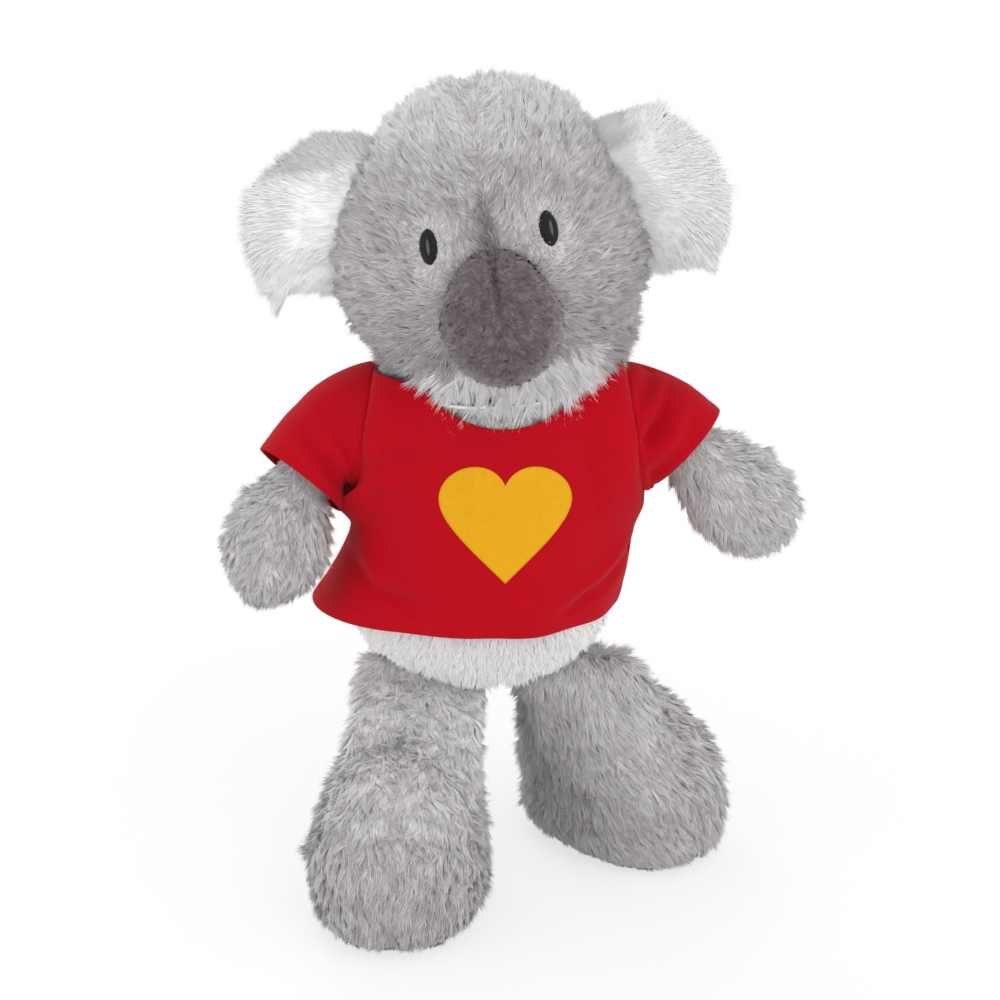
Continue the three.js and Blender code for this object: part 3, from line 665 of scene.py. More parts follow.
def setAttribute(mesh, name, values):
    values = np.asarray(values, np.float32)
    kind, key = ("FLOAT", "value") if values.ndim == 1 else ("FLOAT_VECTOR", "vector")
    mesh.attributes.new(name, kind, "POINT").data.foreach_set(key, values.ravel())


def grown(form, name, look, coat, floorHeight=None, even=0.65, upOf=None):
    # coat gives the comb, length, tone and cover of the pile at each point of the form,
    # upOf the way that the broad side of a strand faces, and even how alike strands are shaded
    places, normals = toyPoint(pointsOf(form.data)), normalsOf(form.data)
    comb, length, tone, cover = coat(places, normals)
    up = normals if upOf is None else upOf(places, normals)
    for attribute, values in zip(formAttributes, (comb, up, length, tone, cover)):
        setAttribute(form.data, attribute, values)
    treeOn(form, "pile", pile, look)
    form.name = form.data.name = name
    mesh = form.data
    places = pointsOf(mesh)
    if floorHeight is not None:
        places[:, 2] = np.maximum(places[:, 2], floorHeight * mm)
        setPoints(mesh, places)
    # A strand is shaded partly as the skin that it stands in
    skin = readAll(mesh.attributes["skinNormal"].data, "vector", 3)
    mesh.shade_smooth()
    shared = unit(even * skin + (1 - even) * normalsOf(mesh))
    mesh.normals_split_custom_set_from_vertices([tuple(n) for n in shared])
    for attribute in formAttributes + strandAttributes:
        if attribute in mesh.attributes:
            mesh.attributes.remove(mesh.attributes[attribute])
    print(name, "has", sum(len(p.vertices) - 2 for p in mesh.polygons), "triangles")
    return form


plushPile = {
    "Density": 6.6e6,
    "Tufts": 0.3e6,
    "Length": 5.1 * mm,
    "Width": 0.31 * mm,
    "Lie": 0.6,
    "Gather": 0.4,
    "Ruffle": 0.6,
    "Ruffle Size": 9.0 * mm,
    "Stray": 0.1,
    "Droop": 0.2,
    "Tone Spread": 0.14,
    "Tuft Tones": 0.08,
    "Seed": 3,
    "Material": plushMaterial,
}

greyTone, whiteTone, chinTone = 0.44, 0.99, 0.9


# Collar and cut of the shirt, which the pile under it also follows

shirt = {
    "bottom": 62.0,
    "top": 178.0,
    "halfWidth": 42.0,
    "front": 33.0,
    "back": 28.0,
    "depthPlace": -13.0,
    "leanLow": -5.5,
    "leanHigh": 1.0,
    "leanEndShare": 0.7,
    "roundLow": 3.0,
    "roundHigh": 3.4,
    "widthShares": [1.1, 1.09, 1.0, 0.99, 0.98],
    "ease": 2.2,
    "hem": 88.0,
    "flareFrom": 120.0,
    "flare": {"right": 11.5, "left": 0.0, "front": 1.0, "back": 3.0},
    "collarRadius": 29.0,
    "collarPlace": np.array([1.0, -20.7, 166.4]),
    "headRoom": 51.4,
    "collarAxis": np.array([0.0, -math.sin(math.radians(24)), math.cos(math.radians(24))]),
    "thickness": 0.9,
    "foldStrength": 1.6,
    "leastLength": 0.09,
    "hemBand": 4.6,
    "collarBand": 3.4,
    "collarStitches": 2.6,
    "seamInset": 0.9,
    "columns": 131,
    "rows": {"hem": 18, "body": 66, "collar": 12},
    "hemShare": 0.09,
    "collarShare": 0.93,
}


def fromCollarAxis(points):
    offset = points - shirt["collarPlace"]
    lengthwise = offset @ shirt["collarAxis"]
    crosswise = offset - lengthwise[..., None] * shirt["collarAxis"]
    return np.linalg.norm(crosswise, axis=-1), lengthwise


# Head

head = {
    "members": ["head_left_panel", "head_right_panel", "chin_panel", "head_stuffing"],
    "voxel": 2.0,
    "inset": 3.2,
    "roll": math.radians(-9),
    "noseReach": [18.6, 19, 21.6],
    "eyeTallness": 0.43,
    "seamPull": 0.6,
    # Painted shade along the crown's seam, in the brow's furrow and over the face and cheeks, and painted
    # light on the crown
    "seamPaintedShade": 0.12,
    "furrowPaintedShade": 0.3,
    "crownPaintedLight": 0.28,
    "facePaintedShade": 0.06,
    "cheekPaintedShade": 0.13,
    "parting": 1.3,
    "fringe": 1.2,
    # Painted shade along the ears' seams
    "earSeamPaintedShade": 0.36,
    "earSeamTrim": 0.55,
}
sideways = turned([1.0, 0.0, 0.0], [0, 1, 0], head["roll"])
upways = turned([0.0, 0.0, 1.0], [0, 1, 0], head["roll"])


def boxCentre(node):
    low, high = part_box(node)
    return toyPoint(np.array((low + high) / 2))


nosePlace = boxCentre("nose_cover")
eyePlaces = {side: boxCentre("eye_" + side) for side in sideSigns}


def fromEye(points):
    # The way and distance from the nearer eye, measured so that its tall oval counts as round
    ways = []
    for side in sideSigns:
        offset = points - eyePlaces[side]
        ways.append(offset - head["eyeTallness"] * (offset @ upways)[:, None] * upways)
    distances = [np.linalg.norm(way, axis=1) for way in ways]
    nearer = (distances[0] < distances[1])[:, None]
    return np.where(nearer, *ways), np.minimum(*distances)


def browFurrow(fromCentre):
    # The seam draws in between the eyes
    side, up = fromCentre @ sideways, fromCentre @ upways
    return bell(side, 2.4) * ease(up, -6, 2) * (1 - ease(up, 14, 26)) * (fromCentre[:, 1] < 0)


def chinDrop(fromCentre):
    # The chin's cover sags over the front of the neck
    up, fromNeck = fromCentre @ upways, np.linalg.norm(fromCentre[:, :2], axis=1)
    return 0.8 * ease(-up, 33, 42) * ease(-fromCentre[:, 1], -4, 10) * ease(fromNeck, 17, 24)


def headInset(points):
    # How deep the cover lies under the pile's tips: less round the eyes, under the chin and on the crown
    fromCentre = points - headCentre
    up = fromCentre @ upways
    share = ease(fromEye(points)[1], 4.5, 13) * (1 - ease(-up, 22, 36))
    share = share + 0.7 * ease(points[:, 0], 20, 50) - 0.5 * ease(up, 30, 50)
    return share + head["seamPull"] * browFurrow(fromCentre) - chinDrop(fromCentre)


def headCoat(points, normals):
    fromCentre = points - headCentre
    side, up, back = fromCentre @ sideways, fromCentre @ upways, fromCentre[:, 1]
    comb = along(points - nosePlace, normals)
    behind = ease(back, 0, 30)[:, None]
    comb = comb * (1 - behind) + along(np.tile(downward, (len(points), 1)), normals) * behind
    # It parts along the seam over the crown, and lies away from the eyes
    nearSeam = bell(side, 7) * ease(up, -5, 12)
    parting = along(np.sign(side)[:, None] * sideways, normals)
    comb = along(comb + parting * (head["parting"] * nearSeam)[:, None], normals)
    wayFromEye, eyeDistance = fromEye(points)
    aroundEye = 1 - ease(eyeDistance, 4, 8)
    comb = comb * (1 - 0.6 * aroundEye)[:, None] + 0.9 * aroundEye[:, None] * unit(wayFromEye)
    comb = along(comb, normals)
    # The fur under the head hangs over the neck
    hanging = ease(-up, 23, 36)[:, None]
    comb = comb * (1 - hanging) + (0.7 * normals - [0, 0, 0.55]) * hanging
    fromNose = np.linalg.norm((points - nosePlace) / head["noseReach"], axis=1)
    chin = ease(-up, 25, 29) * ease(-back, 0, 10) * (1 - ease(np.abs(side), 21, 29))
    length = 0.7 + 0.3 * ease(fromNose, 1.05, 1.7)
    length *= 0.4 + 0.6 * ease(eyeDistance, 3.5, 12)
    length *= 1 - 0.4 * bell(side, 3) * ease(up, 0, 15)
    length *= 1 + head["fringe"] * ease(-up, 20, 33) * (1 - 0.6 * ease(np.abs(side), 14, 26))
    tone = greyTone + (chinTone - greyTone) * chin
    # Painted shade darkens the parting along the crown's seam
    tone -= head["seamPaintedShade"] * bell(side, 2.2) * ease(up, 0, 15)
    # Painted light and shade: lighter on the crown, darker over the face and most on the cheeks, as light
    # from above falls
    shade = head["crownPaintedLight"] * ease(up, 18, 46) - head["facePaintedShade"] - head["cheekPaintedShade"] * ease(-up, -4, 18)
    # Painted shade darkens the furrow between the eyes
    tone += shade * (1 - chin) - head["furrowPaintedShade"] * browFurrow(fromCentre)
    cover = ease(eyeDistance, 2.9, 3.5) * (fromNose > 0.92)
    # Shorter pile along the seams of the ears, with painted shade darkening it
    spots = [Vector(placed(point)) for point in points]
    toEar = np.array([min(tree.find_nearest(spot)[3] for tree in earTrees) for spot in spots]) / mm
    atEar = 1 - ease(toEar, 1.5, 7.5)
    tone -= head["earSeamPaintedShade"] * atEar
    length *= 1 - head["earSeamTrim"] * atEar
    # No pile inside the neck
    fromNeck = np.linalg.norm(fromCentre[:, :2], axis=1)
    cover *= 1 - ease(-fromNeck, -24, -20) * (up < 0)
    return comb, length, tone, cover


def treeOf(members):
    copy = cadCopy("copy", members)
    tree = formTree(copy)
    bpy.data.objects.remove(copy)
    return tree


earTrees = [treeOf([f"ear_{side}_front", f"ear_{side}_back"]) for side in sideSigns]
headForm = stuffedForm("head_form", head["members"], head["voxel"], head["inset"], insetShare=headInset)
headTree = formTree(headForm)
headPlush = grown(headForm, "head_plush", plushPile, headCoat)
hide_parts(*head["members"])
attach(headPlush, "head")

# Nose

nosePile = {
    **plushPile,
    "Density": 10.0e6,
    "Tufts": 0.4e6,
    "Length": 1.7 * mm,
    "Width": 0.25 * mm,
    "Lie": 0.55,
    "Gather": 0.6,
    "Ruffle": 0.9,
    "Ruffle Size": 6.0 * mm,
    "Stray": 0.15,
    "Tone Spread": 0.14,
    "Tuft Tones": 0.16,
    "Seed": 21,
    "Material": velourMaterial,
}
nose = {
    "voxel": 1.1,
    "inset": 0.9,
    "smoothing": 20,
    "seamDepth": 1.3,
    "drawnIn": 3.4,
    "drawnFrom": (47, 50.5),
}


def noseCoat(points, normals):
    offset = points - nosePlace
    side, up = offset @ sideways, offset @ upways
    comb = along(np.sign(side)[:, None] * sideways * 0.8 - upways * 0.7, normals)
    seam = bell(side, 0.9) * ease(up, 2, 5)
    edge = np.hypot(side / 17, up / 20)
    # Painted shade darkens the seam, and a painted highlight lightens the rim, most towards the toy's left
    # and the bottom
    tone = 0.36 - 0.3 * seam + 0.3 * ease(edge, 0.65, 1.0) * (0.5 + 0.5 * ease(side - up, -12, 14))
    length = 1 - 0.55 * seam
    cover = np.linalg.norm(points - headCentre, axis=1) > 46
    return comb, length, tone, cover.astype(float)


def noseInset(points):
    offset = points - nosePlace
    side, up = offset @ sideways, offset @ upways
    return 1 + nose["seamDepth"] * bell(side, 1.1) * ease(up, 1, 6)


def makeNoseForm():
    members = ["nose_cover", "nose_stuffing"]
    form = stuffedForm("nose_form", members, nose["voxel"], nose["inset"], nose["smoothing"], noseInset)
    # The nose's back reaches into the face's pile
    fromCentre = toyPoint(pointsOf(form.data)) - headCentre
    reach = np.linalg.norm(fromCentre, axis=1, keepdims=True)
    fromCentre -= nose["drawnIn"] * (1 - ease(reach, *nose["drawnFrom"])) * fromCentre / reach
    setPoints(form.data, placed(fromCentre + headCentre))
    return form


nosePlush = grown(makeNoseForm(), "nose_plush", nosePile, noseCoat)
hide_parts("nose_cover", "nose_stuffing")
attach(nosePlush, "head")
print("head and nose made")

# Ears

ears = {
    "voxel": 1.6,
    "inset": 2.0,
    "smoothing": 12,
    "strand": 9.0,
    "white": 8.0,
    "grey": 6.0,
    "rootDepth": 0.0045,
    "probe": 0.004,
    "probeReach": 0.024,
    "unmet": 0.01,
    "tipIn": {"left": 4.6, "right": 3.8},
    "lowIn": {"left": 0.4, "right": 0.8},
    "corner": {"left": 1.0, "right": 1.5},
    "droop": {"left": 0.2, "right": 0.05},
    "band": {"left": 40.0, "right": 15.0},
    # Painted light on the ears' grey pile
    "paler": 0.14,
    "look": {
        **plushPile,
        "Density": 9.0e6,
        "Tufts": 0.06e6,
        "Width": 0.32 * mm,
        "Lie": 0.78,
        "Gather": 0.1,
        "Ruffle": 0.28,
        "Ruffle Size": 14.0 * mm,
        "Stray": 0.14,
        "Droop": 0.25,
        "Tone Spread": 0.04,
        "Tuft Tones": 0.03,
    },
    "seeds": {"left": 31, "right": 37},
}


def makeEar(side):
    names = [f"ear_{side}_front", f"ear_{side}_back"]
    fold = joints[f"ear_{side}_fold"]
    root, hinge = toyPoint(np.array(fold["pos_m"])), unit(fold["axis"])
    hinge = hinge * np.sign(hinge[2])
    front, back = boxCentre(names[0]), boxCentre(names[1])
    facing = front - back
    facing = unit(facing - (facing @ hinge) * hinge)
    outward = (front + back) / 2 - root
    outward = unit(outward - (outward @ hinge) * hinge)

    def rimShare(points):
        # 0 in the middle of the ear and about 1 at its rim
        out, rise = (points - root) @ outward, (points - root) @ hinge
        return np.hypot((out - outRange[0]) / outRange[1], (rise - riseRange[0]) / riseRange[1])

    def coat(points, normals):
        offset = points - root
        out, rise = offset @ outward, offset @ hinge
        white = ease(normals @ facing + 0.12 * np.sin(rise * 0.9), -0.7, -0.35)
        # The rim is white all round
        white = np.maximum(white, ease(rimShare(points), 0.55, 0.75) * ease(out, 3, 8))
        band = ears["band"][side]
        white *= 1 - ease(points[:, 2] - (front + back)[2] / 2 + 0.25 * out, band - 3, band)
        # A grey patch high at the root of the left ear
        if side == "left":
            white *= 1 - ease(rise, 12, 15) * (1 - ease(out, -2, 1))
        droop = ears["droop"][side] + 0.9 * ease(-rise, 4, 22)
        comb = unit(outward + hinge * (rise / 32)[:, None] - np.array([0, 0, 1.0]) * droop[:, None])
        length = (ears["grey"] + (ears["white"] - ears["grey"]) * white) / ears["strand"]
        length = length * (0.7 + 0.3 * ease(out, 0, 10))
        # Painted light makes the ears' grey pile lighter than the head's, on the top band and the rim
        grey = greyTone + ears["paler"]
        comb = comb * (1 + 0.2 * white)[:, None]
        return comb, length, grey + (whiteTone - grey) * white, np.ones(len(points))

    def broadSide(points, normals):
        # Thin white pile turns its broad side to the front, also where it stands off the rim
        share = 1.6 * ease(normals @ facing, -0.75, -0.35)
        return unit(normals + share[:, None] * (facing + [0, 0, 0.5]))

    def inset(points):
        return 0.5 + 0.3 * ease((points - root) @ outward, 0, 8)

    form = stuffedForm(f"ear_{side}_form", names, ears["voxel"], ears["inset"], ears["smoothing"], inset)
    filled(form, (110, 300), 30, 4)
    # The low outer corner is rounded off
    places = toyPoint(pointsOf(form.data))
    out, rise = (places - root) @ outward, (places - root) @ hinge
    corner = ears["corner"][side] * ease(-rise, 2, 26) * ease(out, -1, 10)
    places += corner[:, None] * (0.55 * hinge - 0.8 * outward)
    tip = ears["tipIn"][side] * ease(out, 3, 14) * (1 + ears["lowIn"][side] * ease(-rise, 8, 24))
    places -= tip[:, None] * outward
    setPoints(form.data, relaxed(placed(places), edgesOf(form.data), 6))
    out, rise = (places - root) @ outward, (places - root) @ hinge
    outRange, riseRange = [((v.max() + v.min()) / 2, np.ptp(v) / 2) for v in (out, rise)]
    # The root reaches into the head's cover
    points = pointsOf(form.data)
    out = (toyPoint(points) - root) @ outward
    for i in np.nonzero(out < 3)[0]:
        start = Vector(points[i] + outward * ears["probe"])
        hit = headTree.ray_cast(start, Vector(-outward), ears["probeReach"])
        reach = (hit[3] - ears["probe"] + ears["rootDepth"]) if hit[0] else ears["unmet"]
        points[i] -= outward * max(0, reach) * float(1 - ease(out[i], -3, 3))
    setPoints(form.data, relaxed(points, edgesOf(form.data), 3))
    look = {**ears["look"], "Length": ears["strand"] * mm, "Seed": ears["seeds"][side]}
    ear = grown(form, f"ear_{side}_plush", look, coat, even=0.9, upOf=broadSide)
    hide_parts(*names)
    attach(ear, f"ear_{side}")


for side in sideSigns:
    makeEar(side)
print("ears made")

# Torso: pile only where the shirt leaves it open

def bellyShare(points):
    # 1 on the white belly and 0 on the grey back
    return ease(-points[:, 1], 17, 22)


def torsoCoat(points, normals):
    fromAxis, rise = fromCollarAxis(points)
    low = 1 - ease(points[:, 2], 86, 90)
    throat = (fromAxis < shirt["collarRadius"] - 8) * (rise > -14)
    white = bellyShare(points)
    out = points - [0, shirt["depthPlace"], 0]
    out[:, 2] = 0
    comb = along(downward + 0.35 * unit(out), normals)
    tone = greyTone + (whiteTone - greyTone) * white
    length = 0.95 - 0.1 * white
    return comb, length, tone, np.maximum(low, throat * 1.0)


def splineAt(shares, s):
    # A smooth curve through evenly spaced shares
    shares = np.asarray(shares, float)
    last = len(shares) - 1
    x = np.clip(np.asarray(s, float), 0, 1) * last
    i = np.minimum(x.astype(int), last - 1)
    t = x - i
    a, b = shares[np.maximum(i - 1, 0)], shares[i]
    c, d = shares[i + 1], shares[np.minimum(i + 2, last)]
    inner, outer = (c - a) * 0.5, (d - b) * 0.5
    cubic, square = 2 * b - 2 * c + inner + outer, -3 * b + 3 * c - 2 * inner - outer
    return cubic * t**3 + square * t**2 + inner * t + b


def shirtSpot(angle, height, grow=0.0, flared=True):
    # A point of the shirt's surface: angle round the torso, from its left side over its back
    angle, height = np.broadcast_arrays(np.asarray(angle, float), np.asarray(height, float))
    grow = shirt["ease"] + grow
    low, high = shirt["bottom"] - grow, shirt["top"] + grow
    s = np.clip((height - low) / (high - low), 0, 1)
    power = np.where(s < 0.5, shirt["roundLow"], shirt["roundHigh"])
    full = np.maximum(0, 1 - np.abs(2 * s - 1) ** power) ** (1 / power)
    share = splineAt(shirt["widthShares"], s)
    leaning = np.minimum(1, s / shirt["leanEndShare"])
    lean = shirt["leanLow"] + (shirt["leanHigh"] - shirt["leanLow"]) * leaning
    drop = (shirt["flareFrom"] - height) / (shirt["flareFrom"] - shirt["hem"])
    flare = flared * np.clip(drop, 0, None) ** 2
    c, d = np.cos(angle), np.sin(angle)
    width = (shirt["halfWidth"] * share + grow) * full
    width = width + flare * np.where(c < 0, shirt["flare"]["right"], shirt["flare"]["left"])
    depth = np.where(d < 0, shirt["front"], shirt["back"]) * share + grow
    depth = depth * full + flare * np.where(d < 0, shirt["flare"]["front"], shirt["flare"]["back"])
    return np.stack([lean + width * c, shirt["depthPlace"] + depth * d, height], -1)


def collarHeight(angle):
    # Where the shirt's surface reaches the collar's round opening
    heights = np.linspace(shirt["hem"] + 20, shirt["top"] + shirt["ease"] - 0.2, 900)
    found = []
    for a in angle:
        spots = shirtSpot(a, heights)
        far, rise = fromCollarAxis(spots)
        toHead = np.linalg.norm(spots - headCentre, axis=1)
        opening = ((far < shirt["collarRadius"]) & (rise > -20)) | (toHead < shirt["headRoom"])
        inside = np.nonzero(opening)[0]
        found.append(heights[inside[0]] if len(inside) else heights[-1])
    return np.array(found)


torso = {
    "inset": 2.4,
    "columns": 120,
    "rows": 90,
    "seat": 72.6,
    "bellyLow": 63.0,
    "backLow": 67.0,
    "leftPull": 5.0,
    "headRoom": 55,
}


def leftPull(points):
    # The seat narrows on the toy's left
    pull = torso["leftPull"] * ease(-points[..., 2], -124, -88) * ease(points[..., 0], 6, 40)
    return points - pull[..., None] * np.array([1.0, 0, 0])


def makeTorsoForm():
    columns, rows = torso["columns"], torso["rows"]
    angles = np.linspace(0, 2 * math.pi, columns, endpoint=False)
    turns = np.linspace(0, math.pi, rows)[1:-1]
    low, high = shirt["bottom"] + torso["inset"] - 1.5, shirt["top"] - torso["inset"]
    heights = (low + high) / 2 - (high - low) / 2 * np.cos(turns)
    grid = shirtSpot(angles[:, None], heights[None], -shirt["ease"] - torso["inset"] + 1.2, False)
    grid = leftPull(grid)
    count = len(heights)
    points = [*grid.reshape(-1, 3), grid[:, 0].mean(0), grid[:, -1].mean(0)]
    faces = []
    for i in range(columns):
        j = (i + 1) % columns
        for k in range(count - 1):
            faces.append((i * count + k, j * count + k, j * count + k + 1, i * count + k + 1))
        faces.append((columns * count, j * count, i * count))
        faces.append((columns * count + 1, i * count + count - 1, j * count + count - 1))
    points = np.array(points)
    # Room for the head above and the thighs below
    fromHead = points - headCentre
    away = np.linalg.norm(fromHead, axis=1, keepdims=True)
    room = torso["headRoom"]
    points = np.where(away < room, headCentre + fromHead * room / away, points)
    front = 1 - ease(points[:, 1], -38, -31)
    middle = 1 - ease(np.abs(points[:, 0] + 3), 7, 22)
    behind = ease(points[:, 1], -12, -5)
    seat = torso["seat"]
    floor = seat - front * middle * (seat - torso["bellyLow"]) - behind * (seat - torso["backLow"])
    points[:, 2] = np.maximum(points[:, 2], floor)
    form = meshOf("torso_form", placed(points), faces)
    setPoints(form.data, relaxed(pointsOf(form.data), edgesOf(form.data), 10))
    plumped(form)
    return form


torsoForm = makeTorsoForm()
torsoPile = {
    **plushPile,
    "Density": 7.0e6,
    "Tone Spread": 0.12,
    "Length": 5.4 * mm,
    "Seed": 41,
    "Ruffle": 0.5,
    "Gather": 0.3,
    "Lie": 0.5,
    "Stray": 0.25,
}


def bellySide(points, normals):
    # The white pile of the belly turns its broad side to the front
    return unit(normals + 1.5 * bellyShare(points)[:, None] * np.array([0, -0.8, 0.6]))


torsoPlush = grown(torsoForm, "torso_plush", torsoPile, torsoCoat, upOf=bellySide)
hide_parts("torso_back_panel", "torso_belly_panel", "torso_stuffing")
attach(torsoPlush, "torso")

# Arms

arms = {
    "shoulder": np.array([42.8, -14.0, 145.0]),
    "tilt": math.radians(10),
    "armholeRadius": 20.5,
    "cuffRadius": 15.6,
    "rootOut": 5.5,
    "left": {
        "elbow": (20, 8),
        "tip": (47.5, 39),
        "swing": math.radians(5),
        "cuff": (15, 6.5),
        "droop": math.radians(42),
        "sleeveEnd": 0.26,
        "seed": 51,
    },
    "right": {
        "elbow": (23.5, 12),
        "tip": (32, 57.5),
        "swing": math.radians(25),
        "cuff": (19.5, 17),
        "droop": math.radians(52),
        "sleeveEnd": 0.36,
        "seed": 57,
    },
    # Painted light: the arms' grey a little lighter than the head's
    "tone": 0.05,
    "voxel": 1.8,
    "inset": 2.8,
    "smoothing": 16,
    "lineSteps": 60,
}


def armholeOf(side):
    sign = sideSigns[side]
    centre = arms["shoulder"] * [sign, 1, 1]
    axis = np.array([sign * math.cos(arms["tilt"]), 0, math.sin(arms["tilt"])])
    return centre, axis


def swung(side, offsets):
    centre, axis = armholeOf(side)
    return centre + turned(offsets, axis, -sideSigns[side] * arms[side]["swing"])


def armLine(side, shares):
    sign, axis = sideSigns[side], armholeOf(side)[1]
    start = axis * arms["rootOut"]
    ends = arms[side]["elbow"], arms[side]["tip"]
    elbow, tip = [np.array([sign * out, 0, -down]) for out, down in ends]
    t = np.asarray(shares, float)[:, None]
    return swung(side, (1 - t) ** 2 * start + 2 * t * (1 - t) * elbow + t * t * tip)


def makeArm(side):
    line = armLine(side, np.linspace(0, 1, arms["lineSteps"]))
    ways = unit(np.gradient(line, axis=0))
    sleeveEnd = arms[side]["sleeveEnd"]

    def coat(points, normals):
        nearest = np.argmin(np.linalg.norm(points[:, None] - line[None], axis=2), axis=1)
        share = nearest / (arms["lineSteps"] - 1)
        comb = along(ways[nearest] + [0, 0, -0.25], normals)
        cover = ease(share, sleeveEnd - 0.08, sleeveEnd - 0.02)
        length = 0.6 + 0.4 * ease(share, sleeveEnd, sleeveEnd + 0.2)
        # Painted light lifts the arms' grey a little
        return comb, length, np.full(len(points), greyTone + arms["tone"]), cover

    members = [f"arm_{side}_front_panel", f"arm_{side}_back_panel", f"arm_{side}_stuffing"]
    form = stuffedForm(f"arm_{side}_form", members, arms["voxel"], arms["inset"], arms["smoothing"])
    arm = grown(form, f"arm_{side}_plush", {**plushPile, "Seed": arms[side]["seed"]}, coat)
    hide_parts(*members)
    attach(arm, f"arm_{side}")


for side in sideSigns:
    makeArm(side)
print("torso and arms made")

# Legs

legs = {
    # Each leg's rise is painted light on its upper part, against the shade under the shirt
    "left": {"place": (40, -6), "toeOut": math.radians(42), "seed": 61, "rise": 0.05},
    "right": {"place": (-31, -55), "toeOut": math.radians(3), "seed": 67, "rise": 0.22},
    # Painted light: the legs' grey a little lighter than the head's
    "tone": 0.02,
    "voxel": 2.0,
    "inset": 1.0,
    "smoothing": 16,
    "instep": (22, 70),
    "bridge": {
        "pull": 0.9,
        "halfWidth": 28,
        "strip": 2.0,
        "above": 14,
        "low": (16, 28),
        "high": (62, 70),
    },
    "floor": 0.0004,
    "look": {
        **plushPile,
        "Density": 6.0e6,
        "Length": 5.8 * mm,
        "Width": 0.31 * mm,
        "Ruffle": 0.58,
        "Gather": 0.4,
    },
}


def bridged(form, middle, toe, across):
    # Draws the front of the leg part of the way towards a straight line from thigh to toes
    mesh, bridge = form.data, legs["bridge"]
    places = toyPoint(pointsOf(mesh))
    ahead, aside, heights = (places - middle) @ toe, (places - middle) @ across, places[:, 2]
    front = normalsOf(mesh) @ toe > -0.1
    gain = np.zeros(len(places))
    for low in np.arange(-bridge["halfWidth"], bridge["halfWidth"], bridge["strip"]):
        strip = np.nonzero((np.abs(aside - low - 1) < 3) & front & (heights > bridge["above"]))[0]
        if len(strip) < 6:
            continue
        # The line over the strip's hollows, from its lowest point to its highest
        order = strip[np.argsort(heights[strip])]
        hull = []
        for i in order:
            while len(hull) > 1:
                a, b = hull[-2], hull[-1]
                rise, run = heights[b] - heights[a], ahead[b] - ahead[a]
                if run * (heights[i] - heights[a]) <= (ahead[i] - ahead[a]) * rise:
                    hull.pop()
                else:
                    break
            hull.append(i)
        here = strip[(aside[strip] >= low) & (aside[strip] < low + bridge["strip"])]
        line = np.interp(heights[here], heights[hull], ahead[hull])
        gain[here] = np.maximum(line - ahead[here], 0)
    share = bridge["pull"] * ease(heights, *bridge["low"]) * (1 - ease(heights, *bridge["high"]))
    moved = places + toe * (gain * share)[:, None]
    setPoints(mesh, relaxed(placed(moved), edgesOf(mesh), 12))


def makeLeg(side):
    sign, foot = sideSigns[side], legs[side]
    toe = np.array([sign * math.sin(foot["toeOut"]), -math.cos(foot["toeOut"]), 0])
    across = np.cross([0, 0, 1], toe)
    middle = np.array([*foot["place"], 0])

    def coat(points, normals):
        offset = points - middle
        ahead, aside = offset @ toe, offset @ across
        low = (1 - ease(points[:, 2], 50, 68)) * ease(ahead, -22, 0)
        comb = np.tile(downward, (len(points), 1)) + toe * (1.4 * low)[:, None]
        seam = bell(aside, 2.4) * (normals @ toe > -0.2)
        comb = along(comb + across * (np.sign(aside) * seam * 0.3)[:, None], normals)
        length = (1 - 0.25 * seam) * (0.3 + 0.7 * ease(points[:, 2], 1, 12))
        # Painted light lifts the legs' grey, most on the upper leg, and painted shade darkens the front
        # seam
        tone = greyTone + legs["tone"] + foot["rise"] * ease(points[:, 2], 26, 52) - 0.08 * seam
        cover = 0.25 + 0.75 * ease(points[:, 2], 0.4, 2)
        return comb, length, tone, cover

    def inset(points):
        aside = (points - middle) @ across
        ridge = bell(aside, 1.6) * ease(points[:, 2], 6, 14)
        return ease(points[:, 2], 0.0, 5) * (1 + 0.8 * ridge) * (1 - ease(points[:, 2], 56, 66))

    members = [f"leg_{side}_{part}" for part in ("inner_panel", "outer_panel", "sole", "stuffing")]
    form = stuffedForm(f"leg_{side}_form", members, legs["voxel"], legs["inset"], legs["smoothing"], inset)
    filled(form, legs["instep"], 80, 6)
    bridged(form, middle, toe, across)
    points = pointsOf(form.data)
    points[:, 2] = np.maximum(points[:, 2], legs["floor"])
    setPoints(form.data, points)
    look = {**legs["look"], "Seed": foot["seed"]}
    leg = grown(form, f"leg_{side}_plush", look, coat, floorHeight=0.1)
    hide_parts(*members)
    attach(leg, f"leg_{side}")


for side in sideSigns:
    makeLeg(side)
print("legs made")

# Shirt: its cut follows the torso, wider by the ease, and flares to the hem

def foldDepth(points, folds):
    # Soft folds, each a ridge or, with a height below 0, a furrow that runs along a way
    x, y, z = points[..., 0], points[..., 1], points[..., 2]
    depth = np.zeros(x.shape)
    for face, (atX, atZ), (wayX, wayZ), length, width, height in folds:
        size = math.hypot(wayX, wayZ)
        lengthwise = ((x - atX) * wayX + (z - atZ) * wayZ) / size
        crosswise = ((x - atX) * wayZ - (z - atZ) * wayX) / size
        # A fold bends a little along its length
        crosswise = crosswise + 0.012 * lengthwise**2
        here = y < shirt["depthPlace"] if face == "front" else y > shirt["depthPlace"]
        share = np.exp(-((lengthwise / length) ** 2) - (crosswise / width) ** 2)
        depth = depth + shirt["foldStrength"] * here * height * share
    return depth


